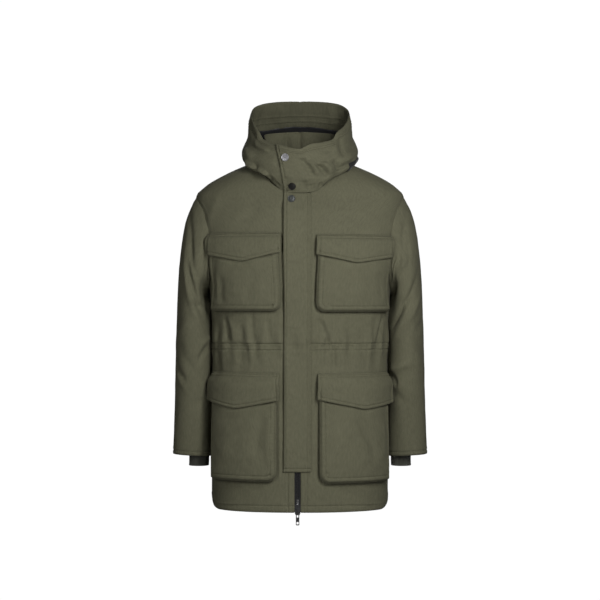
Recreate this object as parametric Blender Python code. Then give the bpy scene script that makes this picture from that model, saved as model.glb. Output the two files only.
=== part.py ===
"""Hooded parka, filled out as if worn, with nobody in it.

Metres, +Z up. The front faces -Y and the wearer's left arm is at +X. The origin is the centre of the
neck at shoulder height, where the wearer's shoulders hold the garment. Every piece of cloth is a wall
of its own: its outer face is worked out from the garment's sizes, its inner face lies WALL behind it,
and neighbouring pieces are SEAM apart.
"""

import math

import bmesh
import bpy
import numpy as np


def table(columns, *rows):
    """A table with named columns, as a dictionary of arrays."""
    values = np.array(rows, float).T
    return dict(zip(columns.split(), values))


# ---------------------------------------------------------------- driving dimensions (metres)
WALL = 0.0022  # shell cloth
THIN = 0.0014  # facing, lining, tape
SEAM = 0.0003  # between two pieces that are sewn together
REST = 0.0006  # between a piece and the curved panel that it lies on

HEM_Z = -0.804
HEM_LIFT = 0.020  # the hem's corners rise this much at the side seams
ARMPIT_Z = -0.295
TIP_Z = -0.0755  # shoulder tip
WAIST_Z = -0.4240
WAIST_GROOVE = 0.0022  # depth of the casing's seam line
WAIST_GROOVE_WIDE = 0.007

BODY_SQUARE = 2.3  # exponent of the torso's sections: 2 is an ellipse, more is squarer
BODY = table(  # the torso's level sections, from below the hem up; half_width is at the side seam
    "z      half_width front   back",
    (-0.830, 0.2076, 0.1470, 0.1470),
    (-0.700, 0.2070, 0.1450, 0.1450),
    (-0.560, 0.2068, 0.1410, 0.1420),
    (-0.424, 0.2062, 0.1360, 0.1370),
    (-0.340, 0.2100, 0.1400, 0.1420),
    (-0.295, 0.2130, 0.1430, 0.1460),
    (-0.240, 0.2290, 0.1440, 0.1490),
    (-0.185, 0.2400, 0.1400, 0.1480),
    (-0.118, 0.2415, 0.1240, 0.1400),
    (-0.0755, 0.2440, 0.1030, 0.1270),
    (-0.052, 0.2240, 0.0930, 0.1180),
    (-0.0236, 0.1770, 0.0760, 0.1040),
    (-0.0024, 0.1290, 0.0590, 0.0920),
    (0.0110, 0.0920, 0.0460, 0.0840),
    (0.0300, 0.0400, 0.0300, 0.0700))

NECK_HALF_WIDTH = 0.0905
NECK_FRONT = 0.1000
NECK_BACK = 0.0780
NECK_FRONT_SQUARE = 3.0
NECK_BACK_SQUARE = 2.4
NECK_TUCK = 0.0015  # the panels reach this far inside the hood's seam

ARMHOLE_DIP = 0.30  # how far the armhole cuts in, as a share of the quarter girth
ARMHOLE_STEPS = 11
FRONT_COLUMNS = 16
BACK_COLUMNS = 23
LOWER_ROWS = (-0.770, -0.720, -0.660, -0.595, -0.535, -0.492, -0.462, -0.440, -0.424, -0.408,
              -0.386, -0.358, -0.326)  # heights of the body's rows between the hem and the armpit
SHOULDER_ROWS = 4

FOLDS = table(  # around: girth from centre front, + to the wearer's left; width, height: half sizes
    "around   z    width  height  out",
    (-0.2670, -0.425, 0.012, 0.030, 0.0024),
    (-0.2309, -0.410, 0.012, 0.042, 0.0044),
    (-0.1946, -0.428, 0.012, 0.046, 0.0052),
    (-0.1583, -0.405, 0.012, 0.038, 0.0040),
    (-0.1220, -0.418, 0.012, 0.048, 0.0052),
    (-0.0857, -0.412, 0.012, 0.040, 0.0044),
    (-0.0494, -0.405, 0.011, 0.034, 0.0030),
    (-0.2127, -0.462, 0.013, 0.028, -0.0032),
    (-0.1401, -0.455, 0.013, 0.030, -0.0030),
    (0.0587, -0.418, 0.012, 0.050, 0.0046),
    (0.0965, -0.402, 0.012, 0.042, 0.0040),
    (0.1340, -0.425, 0.013, 0.036, 0.0036),
    (0.1720, -0.410, 0.012, 0.040, 0.0048),
    (0.2100, -0.425, 0.012, 0.036, 0.0034),
    (0.2480, -0.412, 0.012, 0.045, 0.0044),
    (0.0775, -0.455, 0.013, 0.030, -0.0028),
    (0.1910, -0.455, 0.013, 0.028, -0.0030),
    (0.3120, -0.420, 0.015, 0.040, 0.0034),
    (0.3631, -0.405, 0.016, 0.048, 0.0046),
    (0.4150, -0.428, 0.015, 0.036, 0.0038),
    (0.4669, -0.410, 0.017, 0.050, 0.0050),
    (0.5188, -0.424, 0.015, 0.040, 0.0038),
    (0.5706, -0.412, 0.016, 0.044, 0.0034),
    (-0.3112, -0.424, 0.015, 0.038, 0.0032),
    (-0.3631, -0.408, 0.016, 0.046, 0.0048),
    (-0.4150, -0.430, 0.014, 0.036, 0.0036),
    (-0.4669, -0.412, 0.017, 0.050, 0.0046),
    (-0.5188, -0.426, 0.015, 0.040, 0.0036),
    (-0.1650, -0.105, 0.050, 0.030, -0.0030),
    (0.1500, -0.108, 0.048, 0.032, -0.0028),
    (0.4400, -0.620, 0.060, 0.120, 0.0040),
    (-0.4500, -0.600, 0.055, 0.110, 0.0036),
    (0.4700, -0.180, 0.060, 0.060, -0.0034),
    (-0.4800, -0.200, 0.055, 0.060, -0.0030))

SLEEVE_CLEAR = 0.0028  # between the sleeve's inner side and the body
SLEEVE_SQUARE = 2.25
SLEEVE_FADE = 6.0  # rings over which the armhole's own form turns into the sleeve's
SLEEVE = table(  # heights of each ring's outer and inner side, half its depth, its middle behind X
    "outer_z inner_z depth behind",
    (-0.0755, -0.2945, 0.0720, 0.004),
    (-0.0920, -0.2965, 0.0770, 0.004),
    (-0.1120, -0.2990, 0.0820, 0.004),
    (-0.1380, -0.3020, 0.0860, 0.004),
    (-0.1700, -0.3070, 0.0890, 0.005),
    (-0.2080, -0.3160, 0.0905, 0.006),
    (-0.2500, -0.3300, 0.0910, 0.007),
    (-0.2940, -0.3490, 0.0900, 0.008),
    (-0.3400, -0.3750, 0.0870, 0.009),
    (-0.3850, -0.4050, 0.0825, 0.010),
    (-0.4300, -0.4400, 0.0775, 0.011),
    (-0.4780, -0.4840, 0.0715, 0.012),
    (-0.5280, -0.5320, 0.0650, 0.014),
    (-0.5800, -0.5840, 0.0580, 0.016),
    (-0.6320, -0.6360, 0.0515, 0.018),
    (-0.6815, -0.6860, 0.0460, 0.020))
SLEEVE_OUTLINE = table(  # the sleeve's outer side seen from the front
    "z       x",
    (-0.6900, 0.3010),
    (-0.6200, 0.2985),
    (-0.5550, 0.2962),
    (-0.4840, 0.2944),
    (-0.4130, 0.2926),
    (-0.3500, 0.2900),
    (-0.2950, 0.2880),
    (-0.2450, 0.2850),
    (-0.2000, 0.2808),
    (-0.1415, 0.2714),
    (-0.1060, 0.2596),
    (-0.0755, 0.2440))
SLEEVE_CREASES = table(  # turn: 0 outer side, 90 front, 180 inside, in degrees; along: from armhole
    "side turn along width height out slant",  # to cuff; slant: drop for each degree of turn
    (1, 62, 0.16, 30, 0.035, -0.0040, 0.0016),
    (1, 75, 0.27, 34, 0.030, 0.0034, -0.0012),
    (1, 88, 0.46, 38, 0.026, -0.0060, 0.0016),
    (1, 70, 0.52, 36, 0.024, 0.0044, 0.0014),
    (1, 50, 0.66, 34, 0.028, -0.0034, -0.0012),
    (1, 95, 0.80, 32, 0.026, 0.0024, -0.0008),
    (1, 260, 0.30, 36, 0.030, -0.0044, -0.0014),
    (1, 280, 0.48, 36, 0.024, -0.0056, 0.0014),
    (1, 300, 0.58, 34, 0.026, 0.0038, -0.0010),
    (1, 255, 0.74, 36, 0.026, -0.0030, 0.0010),
    (-1, 55, 0.22, 36, 0.034, -0.0048, 0.0026),
    (-1, 80, 0.33, 32, 0.026, 0.0036, 0.0016),
    (-1, 100, 0.48, 34, 0.024, -0.0050, -0.0012),
    (-1, 60, 0.60, 36, 0.028, 0.0038, -0.0010),
    (-1, 85, 0.72, 32, 0.026, -0.0034, 0.0012),
    (-1, 250, 0.28, 36, 0.030, -0.0042, -0.0014),
    (-1, 275, 0.47, 36, 0.024, -0.0054, 0.0012),
    (-1, 300, 0.60, 34, 0.026, 0.0040, -0.0010),
    (-1, 255, 0.77, 36, 0.026, -0.0032, 0.0010))

WRIST_SIDES = 14
WRIST_CUFF = table(  # the elastic inner cuff, from where it is sewn inside the sleeve to the wrist
    "z center_x half_width half_depth center_y",
    (-0.7095, 0.2395, 0.0236, 0.0268, 0.0195),
    (-0.6960, 0.2390, 0.0238, 0.0270, 0.0195),
    (-0.6720, 0.2395, 0.0240, 0.0275, 0.0190),
    (-0.6480, 0.2450, 0.0280, 0.0330, 0.0185),
    (-0.6300, 0.2543, 0.0402, 0.0490, 0.0180),
    (-0.6180, 0.2544, 0.0412, 0.0502, 0.0177))

HOOD = table(  # rings of the open hood from the neck seam to the opening's edge: where each passes,
    # the squareness of its section, and how much its back corners droop
    "front_y front_z side_x side_z side_y back_y back_z front_square back_square droop",
    (-0.1035, -0.0700, 0.0905, 0.0110, 0.0000, 0.0780, 0.0210, 3.0, 2.4, 0.0),
    (-0.1085, -0.0590, 0.1090, 0.0075, 0.0000, 0.1060, 0.0060, 2.7, 2.3, 0.0),
    (-0.1135, -0.0470, 0.1260, 0.0060, 0.0040, 0.1370, -0.0280, 2.5, 2.3, 0.0),
    (-0.1180, -0.0350, 0.1370, 0.0160, 0.0100, 0.1700, -0.0480, 2.4, 2.3, 0.0),
    (-0.1210, -0.0240, 0.1385, 0.0330, 0.0160, 0.2000, -0.0260, 2.3, 2.4, 0.0),
    (-0.1225, -0.0140, 0.1345, 0.0490, 0.0200, 0.2050, 0.0140, 2.3, 2.4, 0.004),
    (-0.1228, -0.0050, 0.1290, 0.0610, 0.0220, 0.1880, 0.0540, 2.2, 2.4, 0.012),
    (-0.1225, 0.0040, 0.1250, 0.0700, 0.0220, 0.1500, 0.0780, 2.10, 2.5, 0.024),
    (-0.1220, 0.0120, 0.1235, 0.0820, 0.0220, 0.1210, 0.0990, 2.0, 2.7, 0.024),
    (-0.1212, 0.0200, 0.1222, 0.0980, 0.0210, 0.1070, 0.1260, 1.88, 3.0, 0.010),
    (-0.1200, 0.0270, 0.1178, 0.1140, 0.0200, 0.0930, 0.1590, 1.75, 3.2, 0.0))
HOOD_RINGS = len(HOOD["front_y"])
HOOD_STEP = 12.0  # degrees between the columns of every layer of the hood
RIM_LIFT = table(  # how far the opening's edge rises above that curve, by degrees from centre front
    "turn lift",
    (-180, 0.000),
    (-98, 0.000),
    (-82, 0.010),
    (-66, 0.009),
    (-57, 0.005),
    (-49, -0.005),
    (-34, -0.003),
    (-20, 0.001),
    (-2, 0.000),
    (16, 0.009),
    (30, 0.006),
    (43, 0.001),
    (50, 0.011),
    (66, 0.009),
    (82, 0.009),
    (98, 0.000),
    (180, 0.000))
RIM_FROM = 6.5  # ring from which the edge begins to rise
HOOD_FOLDS = table(  # at: degrees from centre front, + to the wearer's left; on and rings: in rings
    "at    on  width rings out slant",
    (24, 3.2, 9, 2.6, 0.0034, 0.05),
    (38, 2.2, 10, 1.8, -0.0030, 0.04),
    (52, 4.2, 12, 2.2, 0.0030, -0.05),
    (-42, 2.4, 12, 1.6, -0.0044, -0.05),
    (-58, 3.4, 12, 1.8, 0.0036, -0.04),
    (78, 5.4, 14, 1.4, -0.0030, 0.03),
    (-84, 5.2, 14, 1.4, -0.0032, -0.03),
    (128, 4.6, 12, 2.2, 0.0050, 0.03),
    (152, 5.0, 9, 2.4, -0.0050, 0.02),
    (176, 4.2, 10, 2.4, 0.0044, 0.02),
    (-132, 4.8, 12, 2.2, 0.0048, -0.03),
    (-156, 4.4, 9, 2.4, -0.0046, -0.02))
LAP_BOTTOM_X = -0.0345  # free edge of the wearer's left front of the hood, at the seam
LAP_TOP_X = -0.0550  # and at the opening
LAP_RISE = 0.0038  # how far the lap stands off what it covers
LAP_FADE = 0.035  # width over which it comes back to the surface
UNDER_LAP_X = 0.0080  # hidden front edge of the other half
FACING_RING = 8  # the facing runs from this ring to the opening
LINING_RING = 7  # and the lining from this one to the facing
FACING_FROM = 60.0  # degrees from centre front
LINING_FROM = 72.0
STAND_FROM = 48.0
STAND_INSET = 0.0040  # the stand's lower edge inside the neck seam
STAND_LIFT = 0.0004
STAND_TOP = table(  # the stand's upper edge: inset is measured inward from the neck seam
    "turn  z  inset",
    (40, 0.0280, 0.0080),
    (90, 0.0680, 0.0055),
    (130, 0.0780, 0.0020),
    (180, 0.0852, -0.0060))
HOOD_TAPE_FROM = 60.0
HOOD_TAPE_TO = 132.0
HOOD_TAPE_RINGS = (2.0, 3.0)
NECK_REST = 0.0016  # height of the hood's seam over the shoulders
NECK_FRONT_REST = 0.0056  # and added in front, where the hood's edge lies outside the neck's
HOOD_CLEAR = 0.0024  # the roll of the hood over the shoulders

ZIP_X = -0.0055
ZIP_TOP_Z = -0.0760
ZIP_END_Z = -0.8030
ZIP_GAP = 0.0150  # between the two front edges
CHAIN_WIDE = 0.0068
CHAIN_THICK = 0.0026
CHAIN_DEEP = 0.0014  # the chain's front behind the fronts' outer face
TAPE_REACH = 0.0150  # from the middle of the zip
TAPE_THICK = 0.0009
SLIDER_TOP_Z = -0.7862
SLIDER_LONG = 0.0240
SLIDER_WIDE = 0.0134
SLIDER_THICK = 0.0060
SLIDER_WEB = 0.0060
SLIDER_PLATE = 0.0012
BRIDGE_WIDE = 0.0028
BRIDGE_INNER = 0.0026  # clear height under the bridge
BRIDGE_BAR = 0.0013
BRIDGE_BELOW = 0.0013  # clear of the hinge axis, down and up
BRIDGE_ABOVE = 0.0042
PULL_AXIS_Z = -0.8052
PULL_STAND = 0.0013  # the hinge axis in front of the slider's plate
PULL_LONG = 0.0280
PULL_WIDE = 0.0080
PULL_THICK = 0.0014
PULL_SLOT_WIDE = 0.0036
PULL_SLOT_LONG = 0.0100
PULL_EYE_WIDE = 0.0048
PULL_EYE_LONG = 0.0056
PULL_EYE_LOW = 0.0022

STORM_FLAP_TOP_LEFT = -0.0368
STORM_FLAP_BOTTOM_LEFT = -0.0395
STORM_FLAP_RIGHT = 0.0237
STORM_FLAP_TOP_Z = -0.0712
STORM_FLAP_BOTTOM_Z = -0.7112
STORM_FLAP_THICK = 0.0026
STORM_FLAP_STAND = 0.0014  # the free edge's gap to the front

POCKET_WALL = 0.0020
POCKET_REST = 0.0013
FLAP_REST = 0.0009
POCKET_EDGE = 0.0036  # radius between a pocket's wall and its face
POCKET_PUFF = 0.0020
POCKET_SIDE_STEPS = 6
POCKET_BOTTOM_STEPS = 7
MOUTH_INSET = 0.020
FLAP_STEPS = 10
FLAP_CLEAR = 0.0016
POCKETS = table(  # side: + the wearer's left; in_x, out_x: edges next to the zip and to the side;
    "side in_x out_x_top out_x_bottom mouth_z bottom_z corner mouth_out bottom_out",
    (-1, 0.0465, 0.2065, 0.1985, -0.1820, -0.3440, 0.012, 0.0098, 0.0148),
    (1, 0.0378, 0.2060, 0.1985, -0.1860, -0.3455, 0.014, 0.0102, 0.0152),
    (-1, 0.0530, 0.1975, 0.1955, -0.5080, -0.7345, 0.016, 0.0114, 0.0162),
    (1, 0.0435, 0.1975, 0.1955, -0.5090, -0.7385, 0.017, 0.0114, 0.0162))
FLAPS = table(  # the flap of each pocket, in the same order; flare: how far it widens outward
    "in_x out_x top_z in_z point_x point_z out_z flare",
    (0.0433, 0.2098, -0.1640, -0.2091, 0.1341, -0.2292, -0.2110, 0.003),
    (0.0385, 0.2088, -0.1690, -0.2148, 0.1318, -0.2327, -0.2170, 0.004),
    (0.0485, 0.2005, -0.4860, -0.5486, 0.1400, -0.5676, -0.5500, 0.000),
    (0.0405, 0.2005, -0.4870, -0.5467, 0.1420, -0.5696, -0.5560, 0.000))
POCKET_NAMES = ("chest_right", "chest_left", "lower_right", "lower_left")

SNAP_SIDES = 14
SNAP_REST = 0.0006
SNAP_NAMES = ("snap_hood_top", "snap_hood_bottom", "snap_storm_flap")
SNAPS = table(
    "x z diameter thick",
    (-0.0342, 0.0085, 0.0180, 0.0026),
    (-0.0186, -0.0570, 0.0175, 0.0026),
    (-0.0198, -0.0880, 0.0175, 0.0026))


# ---------------------------------------------------------------- numbers and surfaces
def smooth(x, knots, values):
    """Cubic through the knots. Each inner slope is the harmonic mean of its neighbours' slopes, or
    zero at a turning point, so the curve never swings past a knot."""
    knots = np.asarray(knots, float)
    values = np.asarray(values, float)
    step = np.diff(knots)
    rise = np.diff(values) / step
    slope = np.zeros(len(values))
    product = rise[:-1] * rise[1:]
    total = rise[:-1] + rise[1:]
    same = product > 0
    slope[1:-1][same] = 2 * product[same] / total[same]
    slope[0] = rise[0]
    slope[-1] = rise[-1]
    x = np.clip(np.asarray(x, float), knots[0], knots[-1])
    k = np.clip(np.searchsorted(knots, x, side="right") - 1, 0, len(knots) - 2)
    t = (x - knots[k]) / step[k]
    start = (1 + 2 * t) * (1 - t) ** 2 * values[k] + t * (1 - t) ** 2 * step[k] * slope[k]
    end = t * t * (3 - 2 * t) * values[k + 1] + t * t * (t - 1) * step[k] * slope[k + 1]
    return start + end


def power(value, exponent):
    """Signed power, which keeps the sign of the value."""
    return np.sign(value) * np.abs(value) ** exponent


def ease(t):
    """Smooth step from 0 to 1."""
    t = np.clip(t, 0.0, 1.0)
    return t * t * (3 - 2 * t)


def unit(vectors):
    length = np.linalg.norm(vectors, axis=-1, keepdims=True)
    return vectors / np.maximum(length, 1e-12)


def girth_angles():
    """The section's angle for each share of the quarter girth, from centre front (0) through the side
    seam (1) to centre back (2), measured on a section of the torso's usual size."""
    angle = np.linspace(0, np.pi, 721)
    x = 0.210 * power(np.sin(angle), 2 / BODY_SQUARE)
    y = -0.140 * power(np.cos(angle), 2 / BODY_SQUARE)
    run = np.concatenate(([0], np.cumsum(np.hypot(np.diff(x), np.diff(y)))))
    half = np.interp(np.pi / 2, angle, run)
    share = np.where(run < half, run / half, 1 + (run - half) / (run[-1] - half))
    return share, angle, half


GIRTH_SHARE, GIRTH_ANGLE, QUARTER_GIRTH = girth_angles()


def angle_at(share):
    """Section angle at a signed share of the quarter girth, wrapping at centre back."""
    share = wrap(share)
    return np.sign(share) * np.interp(np.abs(share), GIRTH_SHARE, GIRTH_ANGLE)


def section(share, z):
    """A point of the torso's plain form at a share of the girth and a height."""
    angle = angle_at(share)
    share, z = np.broadcast_arrays(angle, np.asarray(z, float))
    cos = np.cos(share)
    depth = np.where(cos >= 0, smooth(z, BODY["z"], BODY["front"]), smooth(z, BODY["z"], BODY["back"]))
    x = smooth(z, BODY["z"], BODY["half_width"]) * power(np.sin(share), 2 / BODY_SQUARE)
    return np.stack([x, -depth * power(cos, 2 / BODY_SQUARE), z], axis=-1)


def drape(share, z):
    """How far the cloth stands out of the plain form: the waist's groove and the table of folds, each
    a bell over its own width and height."""
    around = wrap(share) * QUARTER_GIRTH
    out = -WAIST_GROOVE * np.exp(-((z - WAIST_Z) / WAIST_GROOVE_WIDE) ** 2) + 0.0 * around
    for at, height_at, width, height, rise in zip(*FOLDS.values()):
        gap = (around - at + 2 * QUARTER_GIRTH) % (4 * QUARTER_GIRTH) - 2 * QUARTER_GIRTH
        out = out + rise * np.exp(-(gap / width) ** 2 - ((z - height_at) / height) ** 2)
    return out


def skin(share, z, out=0.0):
    """A point of the draped torso, moved out along the plain form's normal."""
    small = 1e-4
    around = section(share + small, z) - section(share - small, z)
    up = section(share, z + small) - section(share, z - small)
    normal = unit(np.cross(around, up))
    lift = np.asarray(drape(share, z) + out)
    return section(share, z) + normal * lift[..., None]


def share_at_x(x, z):
    """Share of the girth at which the front of the section at height z passes through x."""
    half_width = smooth(z, BODY["z"], BODY["half_width"])
    angle = np.arcsin(np.clip(power(x / half_width, BODY_SQUARE / 2), -1, 1))
    return np.sign(angle) * np.interp(np.abs(angle), GIRTH_ANGLE, GIRTH_SHARE)


def neck_height(share, tuck=0.0):
    """Height at which each column of the torso meets the neck's plan curve, or a curve tucked inside
    it, found by halving."""
    share = np.asarray(share, float)
    low = np.full(share.shape, -0.13)
    high = np.full(share.shape, 0.0295)
    for _ in range(40):
        middle = (low + high) / 2
        point = section(share, middle)
        front = point[..., 1] < 0
        depth = np.where(front, NECK_FRONT, NECK_BACK) - tuck
        square = np.where(front, NECK_FRONT_SQUARE, NECK_BACK_SQUARE)
        inside = (np.abs(point[..., 0] / (NECK_HALF_WIDTH - tuck)) ** square
                  + np.abs(point[..., 1] / depth) ** square) < 1
        high = np.where(inside, middle, high)
        low = np.where(inside, low, middle)
    return (low + high) / 2


def wrap(share):
    """A share of the girth between -2 and 2."""
    return (np.asarray(share, float) + 2) % 4 - 2


def skin_normals(share, z):
    """Unit normals of the draped torso from small steps over it."""
    small = 1e-3
    around = skin(share + small, z) - skin(share - small, z)
    up = skin(share, z + small) - skin(share, z - small)
    return unit(np.cross(around, up))


def hem_height(share):
    """The hem is level and rises to a corner at each side seam."""
    share = wrap(share)
    return HEM_Z + HEM_LIFT * ease(1 - np.abs(np.abs(share) - 1) / 0.30) ** 1.5


# ---------------------------------------------------------------- meshes
def material(name, color, roughness, metallic=0.0):
    """A plain Principled material of one sRGB colour."""
    made = bpy.data.materials.get(name)
    if made:
        return made
    made = bpy.data.materials.new(name)
    made.use_nodes = True
    shader = made.node_tree.nodes["Principled BSDF"]
    channels = [int(color[k:k + 2], 16) / 255 for k in (0, 2, 4)]
    linear = [c / 12.92 if c <= 0.04045 else ((c + 0.055) / 1.055) ** 2.4 for c in channels]
    shader.inputs["Base Color"].default_value = (*linear, 1)
    shader.inputs["Roughness"].default_value = roughness
    shader.inputs["Metallic"].default_value = metallic
    return made


def cloth(name):
    return material(name + "_cloth", "5c5a4a", 0.85)


def put(name, points, faces, paint, angle=40):
    """Makes the object of a closed mesh whose faces point out, shaded smooth."""
    mesh = bpy.data.meshes.new(name)
    mesh.from_pydata([tuple(p) for p in points], [], [tuple(f) for f in faces])
    mesh.materials.append(paint)
    shape = bmesh.new()
    shape.from_mesh(mesh)
    bmesh.ops.recalc_face_normals(shape, faces=shape.faces)
    shape.to_mesh(mesh)
    shape.free()
    mesh.shade_smooth()
    mesh.set_sharp_from_angle(angle=math.radians(angle))
    made = bpy.data.objects.new(name, mesh)
    bpy.context.scene.collection.objects.link(made)
    return made


def grid_normals(grid, closed):
    """Unit normals of a grid of points, rows by columns, from the differences of its neighbours."""
    up = np.gradient(grid, axis=0)
    if closed:
        around = np.roll(grid, -1, axis=1) - np.roll(grid, 1, axis=1)
    else:
        around = np.gradient(grid, axis=1)
    return unit(np.cross(around, up))


def wall(name, grid, paint, thick=WALL, closed=False, normals=None):
    """A sheet with thickness: the grid is its outer face, the inner face lies behind it along the
    normals, and a rim joins the two. A closed sheet is a tube. Every cell is cut the same way, so that
    sheets with the same columns stay parallel."""
    rows, columns = grid.shape[:2]
    if normals is None:
        normals = grid_normals(grid, closed)
    inner = grid - normals * thick
    points = np.concatenate([grid.reshape(-1, 3), inner.reshape(-1, 3)])
    index = np.arange(rows * columns).reshape(rows, columns)
    last = columns if closed else columns - 1
    faces = []
    for row in range(rows - 1):
        for column in range(last):
            right = (column + 1) % columns
            a, b = index[row, column], index[row, right]
            c, d = index[row + 1, right], index[row + 1, column]
            for corners in ((a, b, c), (a, c, d)):
                faces.append(corners)
                faces.append(tuple(k + rows * columns for k in reversed(corners)))
    edge = []
    if closed:
        edge += [[(index[0, c], index[0, (c + 1) % columns]) for c in range(columns)]]
        edge += [[(index[-1, (c + 1) % columns], index[-1, c]) for c in range(columns)]]
    else:
        loop = [*index[0, :], *index[1:, -1], *index[-1, -2::-1], *index[-2:0:-1, 0]]
        edge += [list(zip(loop, loop[1:] + loop[:1]))]
    for pairs in edge:
        for a, b in pairs:
            faces.append((b, a, a + rows * columns, b + rows * columns))
    return put(name, points, faces, paint)


# ---------------------------------------------------------------- body panels
def armhole_rows():
    """Heights from the armpit to the shoulder tip, and how far the panel's edge is cut in at each."""
    turn = np.linspace(0, np.pi, ARMHOLE_STEPS + 1)
    return ARMPIT_Z + (TIP_Z - ARMPIT_Z) * (1 - np.cos(turn)) / 2, ARMHOLE_DIP * np.sin(turn)


def panel_shares(start, end, columns, start_x=None, end_x=None):
    """The share of the girth and the height of each point of a panel. A row's end at a side seam is
    cut in by the armhole. Above the armpit each column rises to its own point of the neck."""
    arm_z, dip = armhole_rows()
    top = float(neck_height(np.array(1.0), NECK_TUCK))
    above = np.concatenate([arm_z, np.linspace(TIP_Z, top, SHOULDER_ROWS + 1)[1:]])
    dips = np.concatenate([np.zeros(len(LOWER_ROWS) + 1), dip, np.zeros(SHOULDER_ROWS)])
    u = np.linspace(0, 1, columns)[None, :]
    first = np.full(len(dips), float(start)) + (dips if abs(wrap(start)) == 1 else 0)
    final = np.full(len(dips), float(end)) - (dips if abs(wrap(end)) == 1 else 0)
    plain = start + (end - start) * u
    rise = ((above - ARMPIT_Z) / (top - ARMPIT_Z))[:, None]
    z = np.concatenate([hem_height(plain), np.repeat(np.array(LOWER_ROWS)[:, None], columns, axis=1),
                        ARMPIT_Z + (neck_height(plain, NECK_TUCK) - ARMPIT_Z) * rise])
    if start_x is not None:
        first = share_at_x(start_x, z[:, 0])
    if end_x is not None:
        final = share_at_x(end_x, z[:, -1])
    return first[:, None] + (final - first)[:, None] * u, z


def panel(name, start, end, columns, start_x=None, end_x=None):
    """A body panel. Each seam edge is drawn back by half a seam's gap along the cloth."""
    share, z = panel_shares(start, end, columns, start_x, end_x)
    grid = skin(share, z)
    normals = skin_normals(share, z)
    if start_x is None:
        grid[:, 0] += unit(grid[:, 1] - grid[:, 0]) * SEAM / 2
    if end_x is None:
        grid[:, -1] += unit(grid[:, -2] - grid[:, -1]) * SEAM / 2
    wall(name, grid, cloth(name), normals=normals)


def body_panels():
    front = FRONT_COLUMNS
    panel("front_right", -1, 0, front, end_x=ZIP_X - ZIP_GAP / 2)
    panel("front_left", 0, 1, front, start_x=ZIP_X + ZIP_GAP / 2)
    panel("back", 1, 3, BACK_COLUMNS)


# ---------------------------------------------------------------- sleeves
def armhole():
    """The wearer's left armhole: its points from the shoulder tip down the front to the armpit and up
    the back, the body's normals there, and directions out of the panels along the cloth."""
    z, dip = armhole_rows()
    share = np.concatenate([(1 - dip)[::-1], (1 + dip)[1:-1]])
    z = np.concatenate([z[::-1], z[1:-1]])
    points = skin(share, z)
    toward = skin(1 + (share - 1) * 0.9, z) - skin(1 + (share - 1) * 1.1, z)
    down = np.zeros_like(points)
    down[:, 2] = np.where(z > (TIP_Z + ARMPIT_Z) / 2, -1, 1)
    across = np.abs(share - 1) / ARMHOLE_DIP
    out = unit(unit(toward + 1e-9) * across[:, None] + down * (1 - across)[:, None])
    return points, skin_normals(share, z), out


def sleeve_surface(side):
    """Rings from the armhole's plane, which stands upright, to the level cuff: each is an oval between
    the sleeve's outer line and a line just clear of the body. The first rings take up the armhole's own
    form, and creases push the cloth in or out."""
    edge, edge_normals, away = armhole()
    count = len(edge)
    turn = 2 * np.pi * np.arange(count) / count
    outer_z, inner_z, depth, behind = (SLEEVE[key][:, None] for key in SLEEVE)
    outer_x = smooth(outer_z, SLEEVE_OUTLINE["z"], SLEEVE_OUTLINE["x"])
    inner_x = smooth(inner_z, BODY["z"], BODY["half_width"]) + SLEEVE_CLEAR
    lean = power(np.cos(turn), 2 / SLEEVE_SQUARE)[None, :]
    front = power(np.sin(turn), 2 / SLEEVE_SQUARE)[None, :]
    x = (outer_x + inner_x) / 2 + (outer_x - inner_x) / 2 * lean
    y = behind - depth * front
    z = (outer_z + inner_z) / 2 + (outer_z - inner_z) / 2 * lean
    grid = np.stack([x, y, z], axis=-1)
    rows = len(SLEEVE["outer_z"])
    fade = 1 - ease(np.arange(rows) / SLEEVE_FADE)
    grid += (edge - grid[0])[None] * fade[:, None, None]
    along = np.arange(rows)[:, None] / (rows - 1)
    degrees = np.degrees(turn)[None, :]
    out = np.zeros((rows, count))
    for on_side, at, where, width, height, rise, slant in zip(*SLEEVE_CREASES.values()):
        if on_side == side:
            gap = (degrees - at + 180) % 360 - 180
            out += rise * np.exp(-(gap / width) ** 2 - ((along - where - slant * gap) / height) ** 2)
    grid += grid_normals(grid, True) * out[..., None]
    low = ease((np.abs((degrees[0] + 180) % 360 - 180) - 95) / 70)
    grid[0] = edge + (away * (1 - low)[:, None] + edge_normals * 2.4 * low[:, None]) * SEAM
    normals = grid_normals(grid, True)
    high = 1 - ease((np.abs((degrees[0] + 180) % 360 - 180) - 40) / 60)
    normals[0] = unit(edge_normals * high[:, None] + normals[0] * (1 - high)[:, None])
    return grid, normals


def mirrored(grid):
    """The grid on the wearer's right, with its columns reversed so that it still faces out."""
    return (grid * np.array([-1.0, 1.0, 1.0]))[:, ::-1]


def sleeves():
    for side, name in ((1, "left"), (-1, "right")):
        grid, normals = sleeve_surface(side)
        turn = 2 * np.pi * np.arange(WRIST_SIDES)[None, :] / WRIST_SIDES
        z, center_x, half_width, half_depth, center_y = (WRIST_CUFF[key][:, None] for key in WRIST_CUFF)
        cuff = np.stack([center_x + half_width * np.cos(turn), center_y + half_depth * np.sin(turn),
                         z + 0 * turn], axis=-1)
        if side < 0:
            grid, normals, cuff = mirrored(grid), mirrored(normals), mirrored(cuff)
        wall("sleeve_" + name, grid[:, ::-1], cloth("sleeve_" + name), closed=True,
             normals=normals[:, ::-1])
        wall("wrist_cuff_" + name, cuff, material("wrist_cuff_knit", "2c2c27", 0.9),
             thick=THIN, closed=True)


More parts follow.
